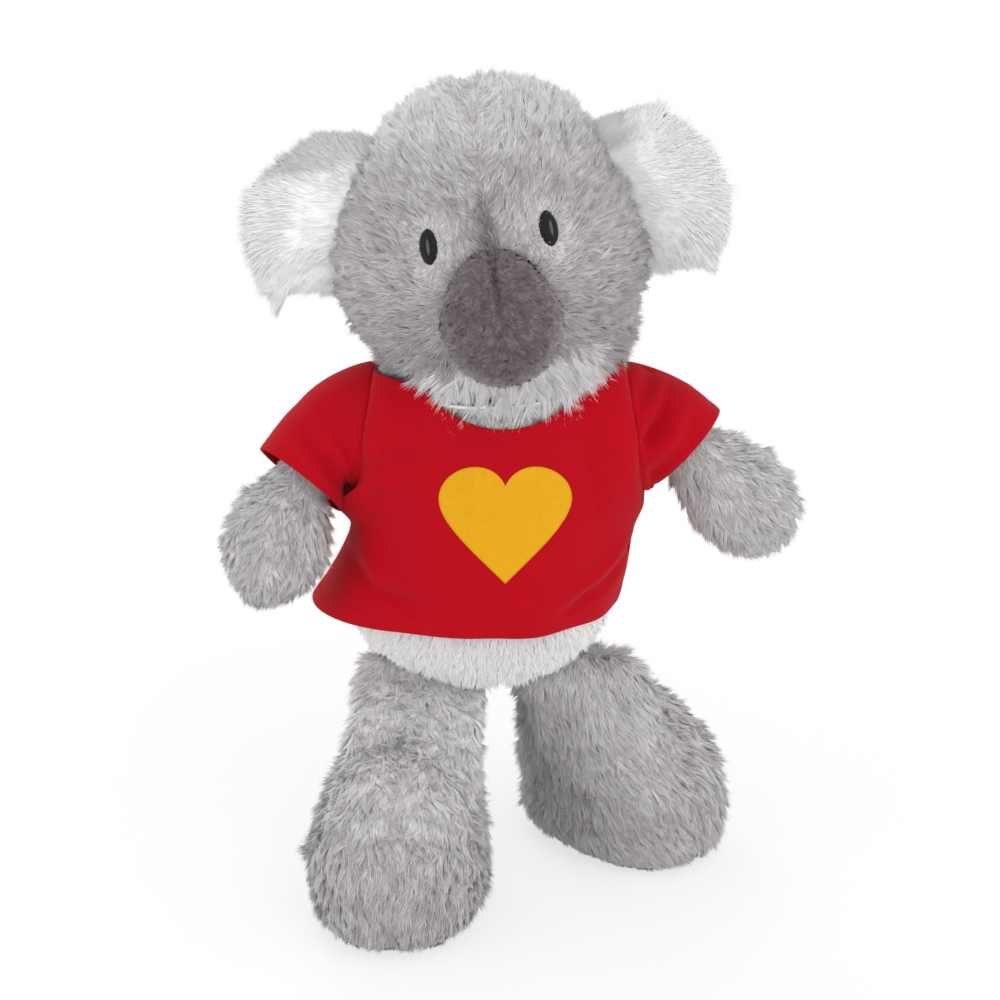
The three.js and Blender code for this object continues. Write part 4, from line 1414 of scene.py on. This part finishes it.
shirtFolds = [
    # face, place, way, length, width, height
    ("front", (-33, 140.5), (1, 0.33), 8, 2.4, -1.4),
    ("front", (-30, 135), (1, 0.42), 8, 3.2, 0.9),
    ("front", (-36, 129), (0.8, 0.6), 8, 2.8, -0.9),
    ("front", (31, 141), (-0.9, 0.45), 7, 2.6, -0.8),
    ("front", (32, 105), (1, 0.8), 10, 2.4, 1.2),
    ("front", (36, 101), (1, 0.8), 9, 2.0, -1.2),
    ("front", (26, 97), (1, 0.7), 8, 2.2, -0.9),
    ("front", (-33, 98.5), (1, -0.33), 14, 2.4, -1.1),
    ("front", (-32, 103), (1, -0.3), 13, 3.0, 0.8),
    ("front", (-39, 108), (-0.35, 1), 12, 3.4, 1.0),
    ("front", (-12, 96), (-0.5, 1), 8, 3.6, 0.5),
    ("back", (-27, 138), (0.8, 0.5), 14, 3.6, -1.2),
    ("back", (27, 138), (-0.8, 0.5), 14, 3.6, -1.2),
    ("back", (6, 112), (0.2, 1), 18, 4.0, 1.0),
    ("back", (-12, 106), (-0.2, 1), 16, 3.6, -1.0),
]


def rippled(points, normals):
    x, y, z = points.T
    depth = 0.32 * np.sin(x / 7.3 + y / 9.1 + 1.3) * np.sin(z / 11.0 + x / 23.0)
    hemward = ease(-z, -112, -92)
    angle = np.arctan2(y - shirt["depthPlace"], x)
    depth = depth + hemward * (0.55 * np.sin(angle * 9 + 0.6) + 0.35 * np.sin(angle * 5 + 2.0))
    return points + normals * depth[:, None]


def gridNormals(grid):
    # Outward normals of a grid of points whose rows run round and whose columns run up
    return unit(np.cross(np.gradient(grid, axis=0), np.gradient(grid, axis=1)))


def hemBand(distance, band, rise=0.28):
    # The turned hem stands a little proud of the single cloth, with a groove along its stitches
    proud = rise * (1 - ease(distance, band - 0.5, band + 0.3))
    return proud - 0.22 * bell(distance - band + shirt["seamInset"], 0.45)


def lengthsAlong(line):
    # How far along a line each of its points lies
    return np.concatenate([[0], np.cumsum(np.linalg.norm(np.diff(line, axis=0), axis=1))])


def clothObject(name, grid, material, closed=False):
    # A sheet from a grid of points, columns by rows, with its own place in millimetres as its map
    columns, rows = grid.shape[:2]
    across, up = lengthsAlong(grid[:, rows // 2]), lengthsAlong(grid[columns // 2])
    spots = []
    for i in range(columns - 1 + closed):
        left, right = across[i], across[i + 1] if i + 1 < columns else across[-1] + across[1]
        for j in range(rows - 1):
            spots.append(((left, up[j]), (right, up[j]), (right, up[j + 1]), (left, up[j + 1])))
    sheet = meshOf(name, placed(grid.reshape(-1, 3)), quadsOf(columns, rows, closed), material)
    layer = sheet.data.uv_layers.new(name="clothPlace")
    layer.data.foreach_set("uv", np.array(spots, np.float32).ravel())
    return sheet


def cutAway(sheet, inside):
    # Takes out the faces whose corners all lie inside
    work = bmesh.new()
    work.from_mesh(sheet.data)
    work.verts.ensure_lookup_table()
    gone = [f for f in work.faces if all(inside[v.index] for v in f.verts)]
    bmesh.ops.delete(work, geom=gone, context="FACES")
    work.to_mesh(sheet.data)
    work.free()


def thickened(sheet, thickness, offset=-1.0):
    # Gives a sheet its thickness
    solid = sheet.modifiers.new("thickness", "SOLIDIFY")
    solid.thickness = thickness * mm
    solid.offset = offset
    finishedMesh(sheet)
    sheet.data.shade_smooth()
    return sheet


def cutSize(sheet, edge, slack):
    # A sheet's flat area and sides in metres; the slack is what its shaping takes from its length
    area = sum(p.area for p in sheet.data.polygons)
    width = float(np.linalg.norm(np.diff(edge, axis=0), axis=1).sum()) * mm
    return area, width, area / width / slack


def armholeOffset(points, side):
    centre, axis = armholeOf(side)
    offset = points - centre
    lengthwise = offset @ axis
    radial = offset - lengthwise[..., None] * axis
    return np.linalg.norm(radial, axis=-1), lengthwise, radial


# How far the hanging arm and sleeve push the body's cloth in and out beside the armhole
pressing = {
    "left": {"crease": 1.6, "bulge": 0.0},
    "right": {"crease": 2.4, "bulge": 6.0},
    "creaseOut": 2.0,
    "creaseWidth": 1.9,
    "bulgeOut": 5.5,
    "bulgeWidth": 4.0,
    "seamInset": 0.4,
    "beside": 16,
}


def drawnToArmhole(points, side):
    # The cloth beside one armhole, with what lies inside the hole and how far it is from its seam
    axis, press = armholeOf(side)[1], pressing[side]
    far, lengthwise, radial = armholeOffset(points, side)
    beside = np.abs(lengthwise) < pressing["beside"]
    radius = arms["armholeRadius"] - pressing["seamInset"]
    # It draws out to the seam
    near = beside & (far > radius - 1.2) & (far < radius + 14)
    pullOut = (1 - ease(far, radius, radius + 12)) * near
    points = points + axis * (pullOut * (-0.5 - lengthwise))[:, None]
    snap = beside & (far < radius) & (far > radius - 1.4)
    onSeam = points + radial * (radius / np.maximum(far, 1e-6) - 1)[:, None]
    points = np.where(snap[:, None], onSeam, points)
    points = points - axis * (0.7 * (1 - ease(far, radius, radius + 1.8)) * near)[:, None]
    # The hanging sleeve presses a crease below and in front of its seam
    way = radial / np.maximum(far, 1e-6)[:, None]
    below = ease(-way[:, 2], -0.1, 0.5) * ease(-way[:, 1], -0.2, 0.4)
    under = ease(-way[:, 2], 0.35, 0.85)
    crease = press["crease"] * below * bell(far - radius - pressing["creaseOut"], pressing["creaseWidth"])
    bulge = press["bulge"] * under * bell(far - radius - pressing["bulgeOut"], pressing["bulgeWidth"])
    points = points + axis * ((bulge - crease) * beside)[:, None]
    return points, beside & (far < radius - 0.01), 1 - (1 - ease(far, radius, radius + 3)) * beside


def rowShares():
    # Rows crowd at the hem and the collar, where the turned bands end
    rows, low, high = shirt["rows"], shirt["hemShare"], shirt["collarShare"]
    return np.concatenate([
        np.linspace(0, low, rows["hem"], endpoint=False),
        np.linspace(low, high, rows["body"], endpoint=False),
        np.linspace(high, 1, rows["collar"]),
    ])


def makeShirtHalf(name, start, end, member):
    angles = np.linspace(start, end, shirt["columns"])
    heights = shirt["hem"] + (collarHeight(angles)[:, None] - shirt["hem"]) * rowShares()[None]
    grid = leftPull(shirtSpot(angles[:, None], heights))
    normals = gridNormals(grid).reshape(-1, 3)
    toHem = np.linalg.norm(grid - grid[:, :1], axis=-1).ravel()
    toCollar = np.linalg.norm(grid - grid[:, -1:], axis=-1).ravel()
    bands = hemBand(toHem, shirt["hemBand"]) + hemBand(toCollar, shirt["collarBand"], 0.2)
    points = rippled(grid.reshape(-1, 3), normals) + normals * bands[:, None]
    hole = np.zeros(len(points), bool)
    awayFromSeams = np.ones(len(points))
    for side in sideSigns:
        points, inside, away = drawnToArmhole(points, side)
        hole |= inside
        awayFromSeams *= away
    points = points + normals * (foldDepth(points, shirtFolds) * awayFromSeams)[:, None]
    grid = points.reshape(grid.shape)
    sheet = clothObject(name, grid, redMaterial)
    cutAway(sheet, hole)
    area, width, length = cutSize(sheet, grid[:, 0], 0.98)
    length = max(length, shirt["leastLength"])
    thickened(sheet, shirt["thickness"])
    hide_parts(member)
    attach(sheet, "torso")
    print(name, "is cut from", round(width * 1000), "by", round(length * 1000), "mm")
    return grid


shirtFront = makeShirtHalf("shirt_front_sheet", math.pi, 2 * math.pi, "shirt_front")
shirtBack = makeShirtHalf("shirt_back_sheet", 0, math.pi, "shirt_back")


# Sleeves: from the round armhole to the cuff

sleeves = {
    "sides": 96,
    "bendShare": 0.3,
    "turnPower": 1.6,
    "cuffBand": 3.8,
    "cuffShare": 0.82,
    "rings": 26,
    "cuffRings": 15,
    "tucks": ((3.6, 0.5), (1.7, 0.2)),
}


def sleeveRings(side):
    sign, axis, cut = sideSigns[side], armholeOf(side)[1], arms[side]
    cuff = np.array([sign * cut["cuff"][0], 0, -cut["cuff"][1]])
    cuffWay = np.array([sign * math.cos(cut["droop"]), 0, -math.sin(cut["droop"])])
    middle = axis * np.linalg.norm(cuff) * sleeves["bendShare"]
    hinge = unit(np.cross(axis, cuffWay))
    whole = math.acos(float(np.clip(axis @ cuffWay, -1, 1)))
    body = np.linspace(0, sleeves["cuffShare"], sleeves["rings"], endpoint=False)
    shares = np.concatenate([body, np.linspace(sleeves["cuffShare"], 1, sleeves["cuffRings"])])
    angles = np.linspace(0, 2 * math.pi, sleeves["sides"], endpoint=False)

    def ringOf(radius, way):
        upward = unit(np.cross(hinge, way))
        return radius * (np.cos(angles)[:, None] * hinge + np.sin(angles)[:, None] * upward)

    grid = np.empty((len(angles), len(shares), 3))
    for j, s in enumerate(shares):
        spot = 2 * s * (1 - s) * middle + s * s * cuff
        way = turned(axis, hinge, whole * s ** sleeves["turnPower"])
        radius = arms["armholeRadius"] + (arms["cuffRadius"] - arms["armholeRadius"]) * s
        grid[:, j] = spot + ringOf(radius, way)
    # The seam's turning, tucked behind the body's cloth
    tucked = []
    for behind, slimmer in sleeves["tucks"]:
        tucked.append(ringOf(arms["armholeRadius"] - slimmer, axis) - behind * axis)
    return np.concatenate([np.stack(tucked, 1), grid], 1)


def makeSleeve(side):
    grid = sleeveRings(side)
    grid = swung(side, grid.reshape(-1, 3)).reshape(grid.shape)
    normals = gridNormals(np.concatenate([grid[-1:], grid, grid[:1]]))[1:-1]
    middle = grid.mean(axis=(0, 1))
    if ((grid - middle) * normals).sum() < 0:
        grid, normals = grid[::-1], -normals[::-1]
    toCuff = np.linalg.norm(grid - grid[:, -1:], axis=-1)
    toSeam = np.linalg.norm(grid - grid[:, :1], axis=-1)
    depth = hemBand(toCuff, sleeves["cuffBand"], 0.25) - 0.3 * bell(toSeam - 2.6, 1.0)
    loose = ease(toSeam, 3.2, 5.5) * ease(toCuff, 1, 6)
    depth = depth + loose * foldDepth(grid, sleeveFolds[side])
    x, y, z = grid[..., 0], grid[..., 1], grid[..., 2]
    depth = depth + 0.25 * loose * np.sin(x / 4.5 + y / 6.0) * np.sin(z / 6.5)
    grid = grid + normals * depth[..., None]
    name = f"sleeve_{side}_sheet"
    sleeve = clothObject(name, grid, redMaterial, closed=True)
    thickened(sleeve, shirt["thickness"])
    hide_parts(f"sleeve_{side}")
    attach(sleeve, f"arm_{side}")
    return grid


sleeveFolds = {
    "left": [
        ("front", (47, 149), (0.53, 0.85), 9, 1.9, -2.2),
        ("front", (52, 146), (0.6, 0.8), 9, 2.4, 1.2),
        ("front", (54, 138), (0.8, 0.6), 9, 1.9, -1.5),
        ("front", (45, 161), (0.6, 0.8), 7, 2.8, -0.9),
        ("front", (62, 137), (0.8, 0.6), 8, 2.2, 0.8),
        ("back", (54, 140), (0.7, 0.7), 11, 2.4, -1.6),
        ("back", (58, 135), (0.7, 0.7), 10, 2.4, 1.0),
    ],
    "right": [
        ("front", (-46, 136), (-0.35, 1), 11, 2.0, 1.1),
        ("front", (-51, 137), (-0.45, 1), 10, 2.2, -1.2),
        ("front", (-57, 139), (-0.6, 1), 10, 2.6, 0.7),
        ("front", (-50, 155), (-0.8, -0.5), 9, 3.0, -0.6),
        ("back", (-52, 138), (-0.3, 1), 11, 2.4, -1.6),
        ("back", (-58, 136), (-0.3, 1), 10, 2.4, 1.0),
    ],
}

sleeveGrids = {side: makeSleeve(side) for side in sideSigns}
print("shirt made")


# Heart print, a thin film that lies on the knit

heart = {
    "halfWidth": 20.0,
    "top": 12.5,
    "notch": 8.0,
    "point": -22.5,
    "place": (1.6, 128.0),
    "film": 0.16,
    "lift": 0.06,
    "rings": 16,
}


def bezier(points, count):
    t = np.linspace(0, 1, count, endpoint=False)[:, None]
    a, b, c, d = np.array(points, float)
    return (1 - t) ** 3 * a + 3 * t * (1 - t) ** 2 * b + 3 * t * t * (1 - t) * c + t**3 * d


def heartOutline():
    w, top, notch, point = heart["halfWidth"], heart["top"], heart["notch"], heart["point"]
    right = np.concatenate([
        bezier([(0, point), (0.5 * w, 0.55 * point), (w, 0.2 * point), (w, 0.35 * notch)], 26),
        bezier([(w, 0.35 * notch), (w, top), (0.25 * w, 1.5 * top), (0, notch)], 26),
    ])
    left = right[::-1] * [-1, 1]
    return np.concatenate([right, [(0, notch)], left[:-1]])


def shirtTree():
    points = [Vector(p) for p in placed(shirtFront.reshape(-1, 3))]
    return BVHTree.FromPolygons(points, quadsOf(*shirtFront.shape[:2]))


def makeHeart():
    outline = heartOutline()
    middle = np.array([0, -2.0])
    count, rings = len(outline), heart["rings"]
    spots = [middle + (outline - middle) * (i / rings) for i in range(1, rings + 1)]
    spots = np.concatenate(spots + [middle[None]]) + heart["place"]
    faces = []
    for ring in range(rings - 1):
        low, high = ring * count, (ring + 1) * count
        for i in range(count):
            j = (i + 1) % count
            faces.append((low + i, low + j, high + j, high + i))
    faces += [(rings * count, (i + 1) % count, i) for i in range(count)]
    tree = shirtTree()
    points = []
    for x, z in spots:
        start = Vector(placed((x, -90, z)))
        hit = tree.ray_cast(start, Vector((0, 1, 0)))
        points.append(np.array(hit[0]) + np.array([0, -1, 0]) * heart["lift"] * mm)
    made = meshOf("heart_print_sheet", points, faces, yellowMaterial)
    mesh = made.data
    if np.mean([p.normal.y for p in mesh.polygons]) > 0:
        mesh.flip_normals()
    layer = mesh.uv_layers.new(name="clothPlace")
    for loop in mesh.loops:
        layer.data[loop.index].uv = spots[loop.vertex_index]
    thickened(made, heart["film"], 1.0)
    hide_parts("heart_print")
    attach(made, "torso")


makeHeart()
print("heart print made")

# Thread: stitches along a path, and satin stitch over a pad

def threadPathTree():
    kit, given = newTree("stitchLine", ("Pitch", "Stitch Length", "Thread"), ())
    line = kit.node("GeometryNodeMeshToCurve", None, {"Mesh": given("Geometry")})
    spots = kit.node(
        "GeometryNodeCurveToPoints",
        {"mode": "LENGTH"},
        {"Curve": line, "Length": given("Pitch")},
    )
    outward = kit.node(
        "GeometryNodeInputNamedAttribute",
        {"data_type": "FLOAT_VECTOR"},
        {"Name": "outward"},
    )
    turn = kit.node(
        "FunctionNodeAxesToRotation",
        {"primary_axis": "X", "secondary_axis": "Z"},
        {"Primary Axis": spots.other("Tangent"), "Secondary Axis": outward},
    )
    stitch = kit.node("GeometryNodeMeshUVSphere", None, {"Segments": 8, "Rings": 5, "Radius": 0.5})
    size = kit.node(
        "ShaderNodeCombineXYZ",
        None,
        {"X": given("Stitch Length"), "Y": given("Thread"), "Z": given("Thread")},
    )
    laid = laidOut(kit, spots, stitch, turn, size)
    smooth = kit.node("GeometryNodeSetShadeSmooth", None, {"Geometry": laid})
    return closedTree(kit, smooth, given("Material"))


threadPath = threadPathTree()
stitches = {"pitch": 2.4, "length": 1.9, "thread": 0.3, "sunk": 0.06}


def sewn(name, path, outward, body):
    # Stitches along a path of points, each lying on the cloth that faces outward
    made = newObject(name, bpy.data.meshes.new(name))
    points = placed(path - outward * stitches["sunk"])
    made.data.from_pydata([tuple(q) for q in points], [(i, i + 1) for i in range(len(points) - 1)], [])
    setAttribute(made.data, "outward", outward)
    values = {
        "Pitch": stitches["pitch"] * mm,
        "Stitch Length": stitches["length"] * mm,
        "Thread": stitches["thread"] * mm,
        "Material": threadMaterials["redThread"],
    }
    treeOn(made, "stitches", threadPath, values)
    if "outward" in made.data.attributes:
        made.data.attributes.remove(made.data.attributes["outward"])
    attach(made, body)


def rowAt(grid, distance, fromTop):
    # The line on a cloth grid at a distance from its lower or upper edge
    path = []
    for column in grid[:, ::-1] if fromTop else grid:
        reach = lengthsAlong(column)
        path.append([np.interp(distance, reach, column[:, k]) for k in range(3)])
    return np.array(path)


def outwardAt(path, grid, normals):
    flat, flatNormals = grid.reshape(-1, 3), normals.reshape(-1, 3)
    nearest = [int(np.argmin(((flat - q) ** 2).sum(1))) for q in path]
    return flatNormals[nearest]


def sewHems():
    for name, grid in (("front", shirtFront), ("back", shirtBack)):
        normals = gridNormals(grid)
        hemLine = rowAt(grid, shirt["hemBand"] - shirt["seamInset"], False)
        sewn(f"hem_{name}_stitches", hemLine, outwardAt(hemLine, grid, normals), "torso")
        collarLine = rowAt(grid, shirt["collarStitches"], True)
        sewn(f"collar_{name}_stitches", collarLine, outwardAt(collarLine, grid, normals), "torso")
    for side, grid in sleeveGrids.items():
        closed = np.concatenate([grid, grid[:1]])
        normals = gridNormals(np.concatenate([grid[-1:], grid, grid[:2]]))[1:-1]
        cuffLine = rowAt(closed, sleeves["cuffBand"] - shirt["seamInset"], True)
        outward = outwardAt(cuffLine, closed, normals)
        sewn(f"cuff_{side}_stitches", cuffLine, outward, f"arm_{side}")


sewHems()
print("hems sewn")

# Eyes: satin stitch across a low pad, and a paler bar of it for the glint

eyes = {
    "halfWidth": 2.85,
    "halfHeight": 5.0,
    "rows": 30,
    "dome": 1.0,
    "thread": 0.42,
    "lean": {"left": -2.0, "right": 2.0},
    "lift": 0.25,
    "slope": 0.06,
    "padDepth": 0.8,
    "sagRadius": 105,
    "glint": {"halfWidth": 0.5, "halfHeight": 2.2, "rows": 13, "dome": 0.25, "lift": 1.12, "aside": 0.35},
}


def satinTree():
    sizes = ("Half Width", "Half Height", "Dome", "Thread", "Slope")
    kit, given = newTree("satinStitch", sizes, ("Rows", "Seed"))
    tall, wide = given("Half Height"), given("Half Width")
    step = tall * 2 / (given("Rows") - 1)
    line = kit.node(
        "GeometryNodeMeshLine",
        None,
        {
            "Count": given("Rows"),
            "Start Location": kit.node("ShaderNodeCombineXYZ", None, {"Y": tall * -1}),
            "Offset": kit.node("ShaderNodeCombineXYZ", None, {"Y": step}),
        },
    )
    # One stitch: half a round thread that thins towards its ends
    strand = kit.node(
        "GeometryNodeMeshGrid",
        None,
        {"Size X": 2.0, "Size Y": 1.0, "Vertices X": 7, "Vertices Y": 5},
    )
    place = kit.node("ShaderNodeSeparateXYZ", None, {"Vector": kit.node("GeometryNodeInputPosition")})
    slim = kit.math("SQRT", 1 - (place.other("X") ** 2) ** 2 * 0.8)
    angle = place.other("Y") * math.pi
    half = given("Thread") / 2
    curved = kit.node(
        "ShaderNodeCombineXYZ",
        None,
        {
            "X": place.other("X"),
            "Y": kit.math("SINE", angle) * half * slim,
            "Z": kit.math("COSINE", angle) * half * slim,
        },
    )
    strand = kit.node("GeometryNodeSetPosition", None, {"Geometry": strand, "Position": curved})
    upShare = place.other("Y") / (tall * 1.03)
    chord = kit.math("SQRT", 1 - upShare ** 2)
    jitter = kit.chance(0.985, 1.02, given("Seed"))
    size = kit.node("ShaderNodeCombineXYZ", None, {"X": chord * wide * jitter, "Y": 1.0, "Z": 1.0})
    tilt = kit.chance(-0.02, 0.02, given("Seed") + 3)
    turn = kit.node("ShaderNodeCombineXYZ", None, {"Z": given("Slope") + tilt})
    laid = laidOut(kit, line, strand, turn, size)
    # The rows follow the dome of the pad under them
    far = (place.other("X") / wide) ** 2 + (place.other("Y") / tall) ** 2
    dome = kit.math("SQRT", kit.math("MAXIMUM", 1 - far, 0.0)) * given("Dome")
    lifted = kit.node("ShaderNodeCombineXYZ", None, {"Z": dome})
    laid = kit.node("GeometryNodeSetPosition", None, {"Geometry": laid, "Offset": lifted})
    whole = joined(kit, laid, given("Geometry"))
    smooth = kit.node("GeometryNodeSetShadeSmooth", None, {"Geometry": whole})
    return closedTree(kit, smooth, given("Material"))


satin = satinTree()


def lensOf(name, halfWidth, halfHeight, dome, depth):
    # The closed pad under the stitches
    rings, sides = 8, 40
    points, faces = [(0, 0, dome)], []
    for way, bottom in ((dome, False), (-depth, True)):
        for i in range(1, rings + 1) if not bottom else range(rings - 1, 0, -1):
            share = i / rings
            for j in range(sides):
                a = 2 * math.pi * j / sides
                high = way * math.sqrt(max(0, 1 - share * share))
                points.append((halfWidth * share * math.cos(a), halfHeight * share * math.sin(a), high))
    points.append((0, 0, -depth))
    count = (len(points) - 2) // sides
    for j in range(sides):
        k = (j + 1) % sides
        faces.append((0, 1 + j, 1 + k))
        for i in range(count - 1):
            upper, lower = 1 + i * sides, 1 + (i + 1) * sides
            faces.append((upper + j, lower + j, lower + k, upper + k))
        last = 1 + (count - 1) * sides
        faces.append((len(points) - 1, last + k, last + j))
    return meshOf(name, np.array(points) * mm, faces)


def embroidered(name, side, look, material, lift, aside, seed):
    wide, tall = look["halfWidth"], look["halfHeight"]
    made = lensOf(name, wide * 0.97, tall * 0.98, look["dome"], eyes["padDepth"])
    values = {
        "Half Width": wide * mm,
        "Half Height": tall * mm,
        "Dome": look["dome"] * mm,
        "Thread": eyes["thread"] * mm,
        "Slope": eyes["slope"],
        "Rows": look["rows"],
        "Seed": seed,
        "Material": material,
    }
    treeOn(made, "satin", satin, values)
    # Its own plane: out of the head, with its long side nearly upright
    outward = unit(eyePlaces[side] - headCentre)
    tall = unit(upways - (upways @ outward) * outward)
    tall = turned(tall, outward, math.radians(eyes["lean"][side]))
    wide = np.cross(tall, outward)
    spot = headTree.find_nearest(Vector(placed(eyePlaces[side])))[0]
    points = pointsOf(made.data) / mm
    sag = (points[:, 0] ** 2 + points[:, 1] ** 2) / eyes["sagRadius"]
    base = toyPoint(np.array(spot)) + outward * lift
    points = (
        base
        + (points[:, :1] + aside) * wide
        + points[:, 1:2] * tall
        + (points[:, 2:] - sag[:, None]) * outward
    )
    setPoints(made.data, placed(points))
    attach(made, "head")
    return made


for side, sign in sideSigns.items():
    black, grey, bar = threadMaterials["blackThread"], threadMaterials["greyThread"], eyes["glint"]
    eye = embroidered(f"eye_{side}_stitches", side, eyes, black, eyes["lift"], 0, 5 + sign)
    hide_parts(f"eye_{side}")
    high = eyes["lift"] + bar["lift"]
    glint = embroidered(f"eye_glint_{side}_stitches", side, bar, grey, high, bar["aside"], 15 + sign)
    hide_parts(f"eye_glint_{side}")
print("eyes made")

# Neck: a short gathered ring of pile between the head and the collar

neck = {
    "profile": [
        (19, 150),
        (25, 149.5),
        (29.5, 151),
        (32, 154),
        (32, 156.5),
        (30, 157),
        (25, 153.5),
        (20, 151),
    ],
    "front": 1.5,
    "sides": 96,
    "steps": 40,
    "gathers": 34,
    "gatherDepth": 0.35,
    "look": {"Seed": 71, "Gather": 0.4, "Stray": 0.3, "Ruffle": 0.7, "Tone Spread": 0.16},
}


def neckCoat(points, normals):
    out = points - headCentre
    out[:, 2] = 0
    out = unit(out)
    white = ease(-out[:, 1], 0.05, 0.4)
    comb = out * 0.7 - np.array([0, 0, 0.7])
    tone = greyTone + (chinTone + 0.06 - greyTone) * white
    return comb, np.full(len(points), 0.9), tone, ease(points[:, 2], 150, 152)


def makeNeck():
    profile = np.array(neck["profile"] + neck["profile"][:1], float)
    t = np.linspace(0, len(profile) - 1, neck["steps"], endpoint=False)
    outline = np.stack([np.interp(t, range(len(profile)), profile[:, k]) for k in range(2)], 1)
    points = []
    for a in np.linspace(0, 2 * math.pi, neck["sides"], endpoint=False):
        forward = max(0, -math.sin(a)) * neck["front"]
        gather = neck["gatherDepth"] * math.sin(a * neck["gathers"])
        for radius, height in outline:
            reach = radius + (forward + gather) * ease(radius, 20, 30)
            x, y = headCentre[0] + reach * math.cos(a), headCentre[1] + reach * math.sin(a)
            points.append((x, y, height - forward * 0.9))
    faces = quadsOf(neck["sides"], neck["steps"], ring=True, tube=True)
    form = meshOf("neck_form", placed(points), faces)
    setPoints(form.data, relaxed(pointsOf(form.data), edgesOf(form.data), 6))
    ring = grown(form, "neck_plush", {**plushPile, **neck["look"]}, neckCoat)
    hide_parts("neck_seam_band")
    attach(ring, "neck_band")


makeNeck()
print("neck made")

# Camera, lamps and floor

studio = {
    "target": (0, 0, 116),
    "lampTarget": (0, 0, 110),
    "distance": 682,
    "elevation": math.radians(18),
    "lens": 76.06,
    "ambient": 0.8,
    "lamps": {
        # place, size in metres, power
        "key": ((300, -600, 780), 0.55, 1.75),
        "fill": ((-640, -520, 420), 0.7, 0.5),
        "front": ((80, -900, 60), 0.9, 1.85),
        "rim": ((-260, 620, 640), 0.5, 1.8),
        "side_left": ((900, -260, 150), 0.9, 3.0),
        "side_right": ((-900, -260, 150), 0.9, 3.0),
    },
}


def aimed(made, spot, target):
    made.location = placed(spot)
    made.rotation_mode = "QUATERNION"
    made.rotation_quaternion = (Vector(placed(target)) - made.location).to_track_quat("-Z", "Y")
    bpy.context.scene.collection.objects.link(made)


def makeCamera():
    lens = bpy.data.cameras.new("camera")
    lens.sensor_width, lens.lens = 36, studio["lens"]
    lens.clip_start, lens.clip_end = 0.01, 50
    camera = bpy.data.objects.new("camera", lens)
    rise = studio["elevation"]
    away = np.array([0, -math.cos(rise), math.sin(rise)]) * studio["distance"]
    aimed(camera, np.array(studio["target"]) + away, studio["target"])
    bpy.context.scene.camera = camera


def makeLamp(name, spot, size, power):
    light = bpy.data.lights.new(name, "AREA")
    light.size, light.energy = size, power
    aimed(bpy.data.objects.new(name, light), spot, studio["lampTarget"])


def seenDirectly(kit):
    # 1 for what the camera sees, also by way of metal or glass
    path = kit.node("ShaderNodeLightPath", output="Is Camera Ray")
    return path + path.other("Is Glossy Ray") + path.other("Is Transmission Ray")


def makeFloor():
    reach = 12.0
    corners = [(-reach, -reach, 0), (reach, -reach, 0), (reach, reach, 0), (-reach, reach, 0)]
    floor = meshOf("studio_floor", corners, [(0, 1, 2, 3)])
    made = bpy.data.materials.new("paleFloor")
    made.use_nodes = True
    made.node_tree.nodes.clear()
    kit = Kit(made.node_tree)
    matte = kit.node("ShaderNodeBsdfDiffuse", None, {"Color": (0.9, 0.9, 0.9, 1)})
    glow = kit.node("ShaderNodeEmission", None, {"Color": (1, 1, 1, 1), "Strength": 1.0})
    seen = seenDirectly(kit)
    place = kit.node("ShaderNodeTexCoord", output="Object")
    away = kit.vector("LENGTH", place)
    share = kit.node("ShaderNodeMapRange", None, {"Value": away, 1: 0.1, 2: 0.42, 3: 0.7, 4: 1.0})
    mix = kit.node("ShaderNodeMixShader", None, {0: seen * share, 1: matte, 2: glow})
    kit.node("ShaderNodeOutputMaterial", None, {"Surface": mix})
    floor.data.materials.append(made)


def makeWorld():
    world = bpy.data.worlds.new("studioWorld")
    bpy.context.scene.world = world
    world.use_nodes = True
    world.node_tree.nodes.clear()
    kit = Kit(world.node_tree)
    strength = seenDirectly(kit) * (1 - studio["ambient"]) + studio["ambient"]
    background = kit.node("ShaderNodeBackground", None, {"Color": (1, 1, 1, 1), "Strength": strength})
    kit.node("ShaderNodeOutputWorld", None, {"Surface": background})


makeCamera()
for name, (spot, size, power) in studio["lamps"].items():
    makeLamp(name, spot, size, power)
makeFloor()
makeWorld()
bpy.context.scene.view_settings.view_transform = "Standard"
print("studio made")
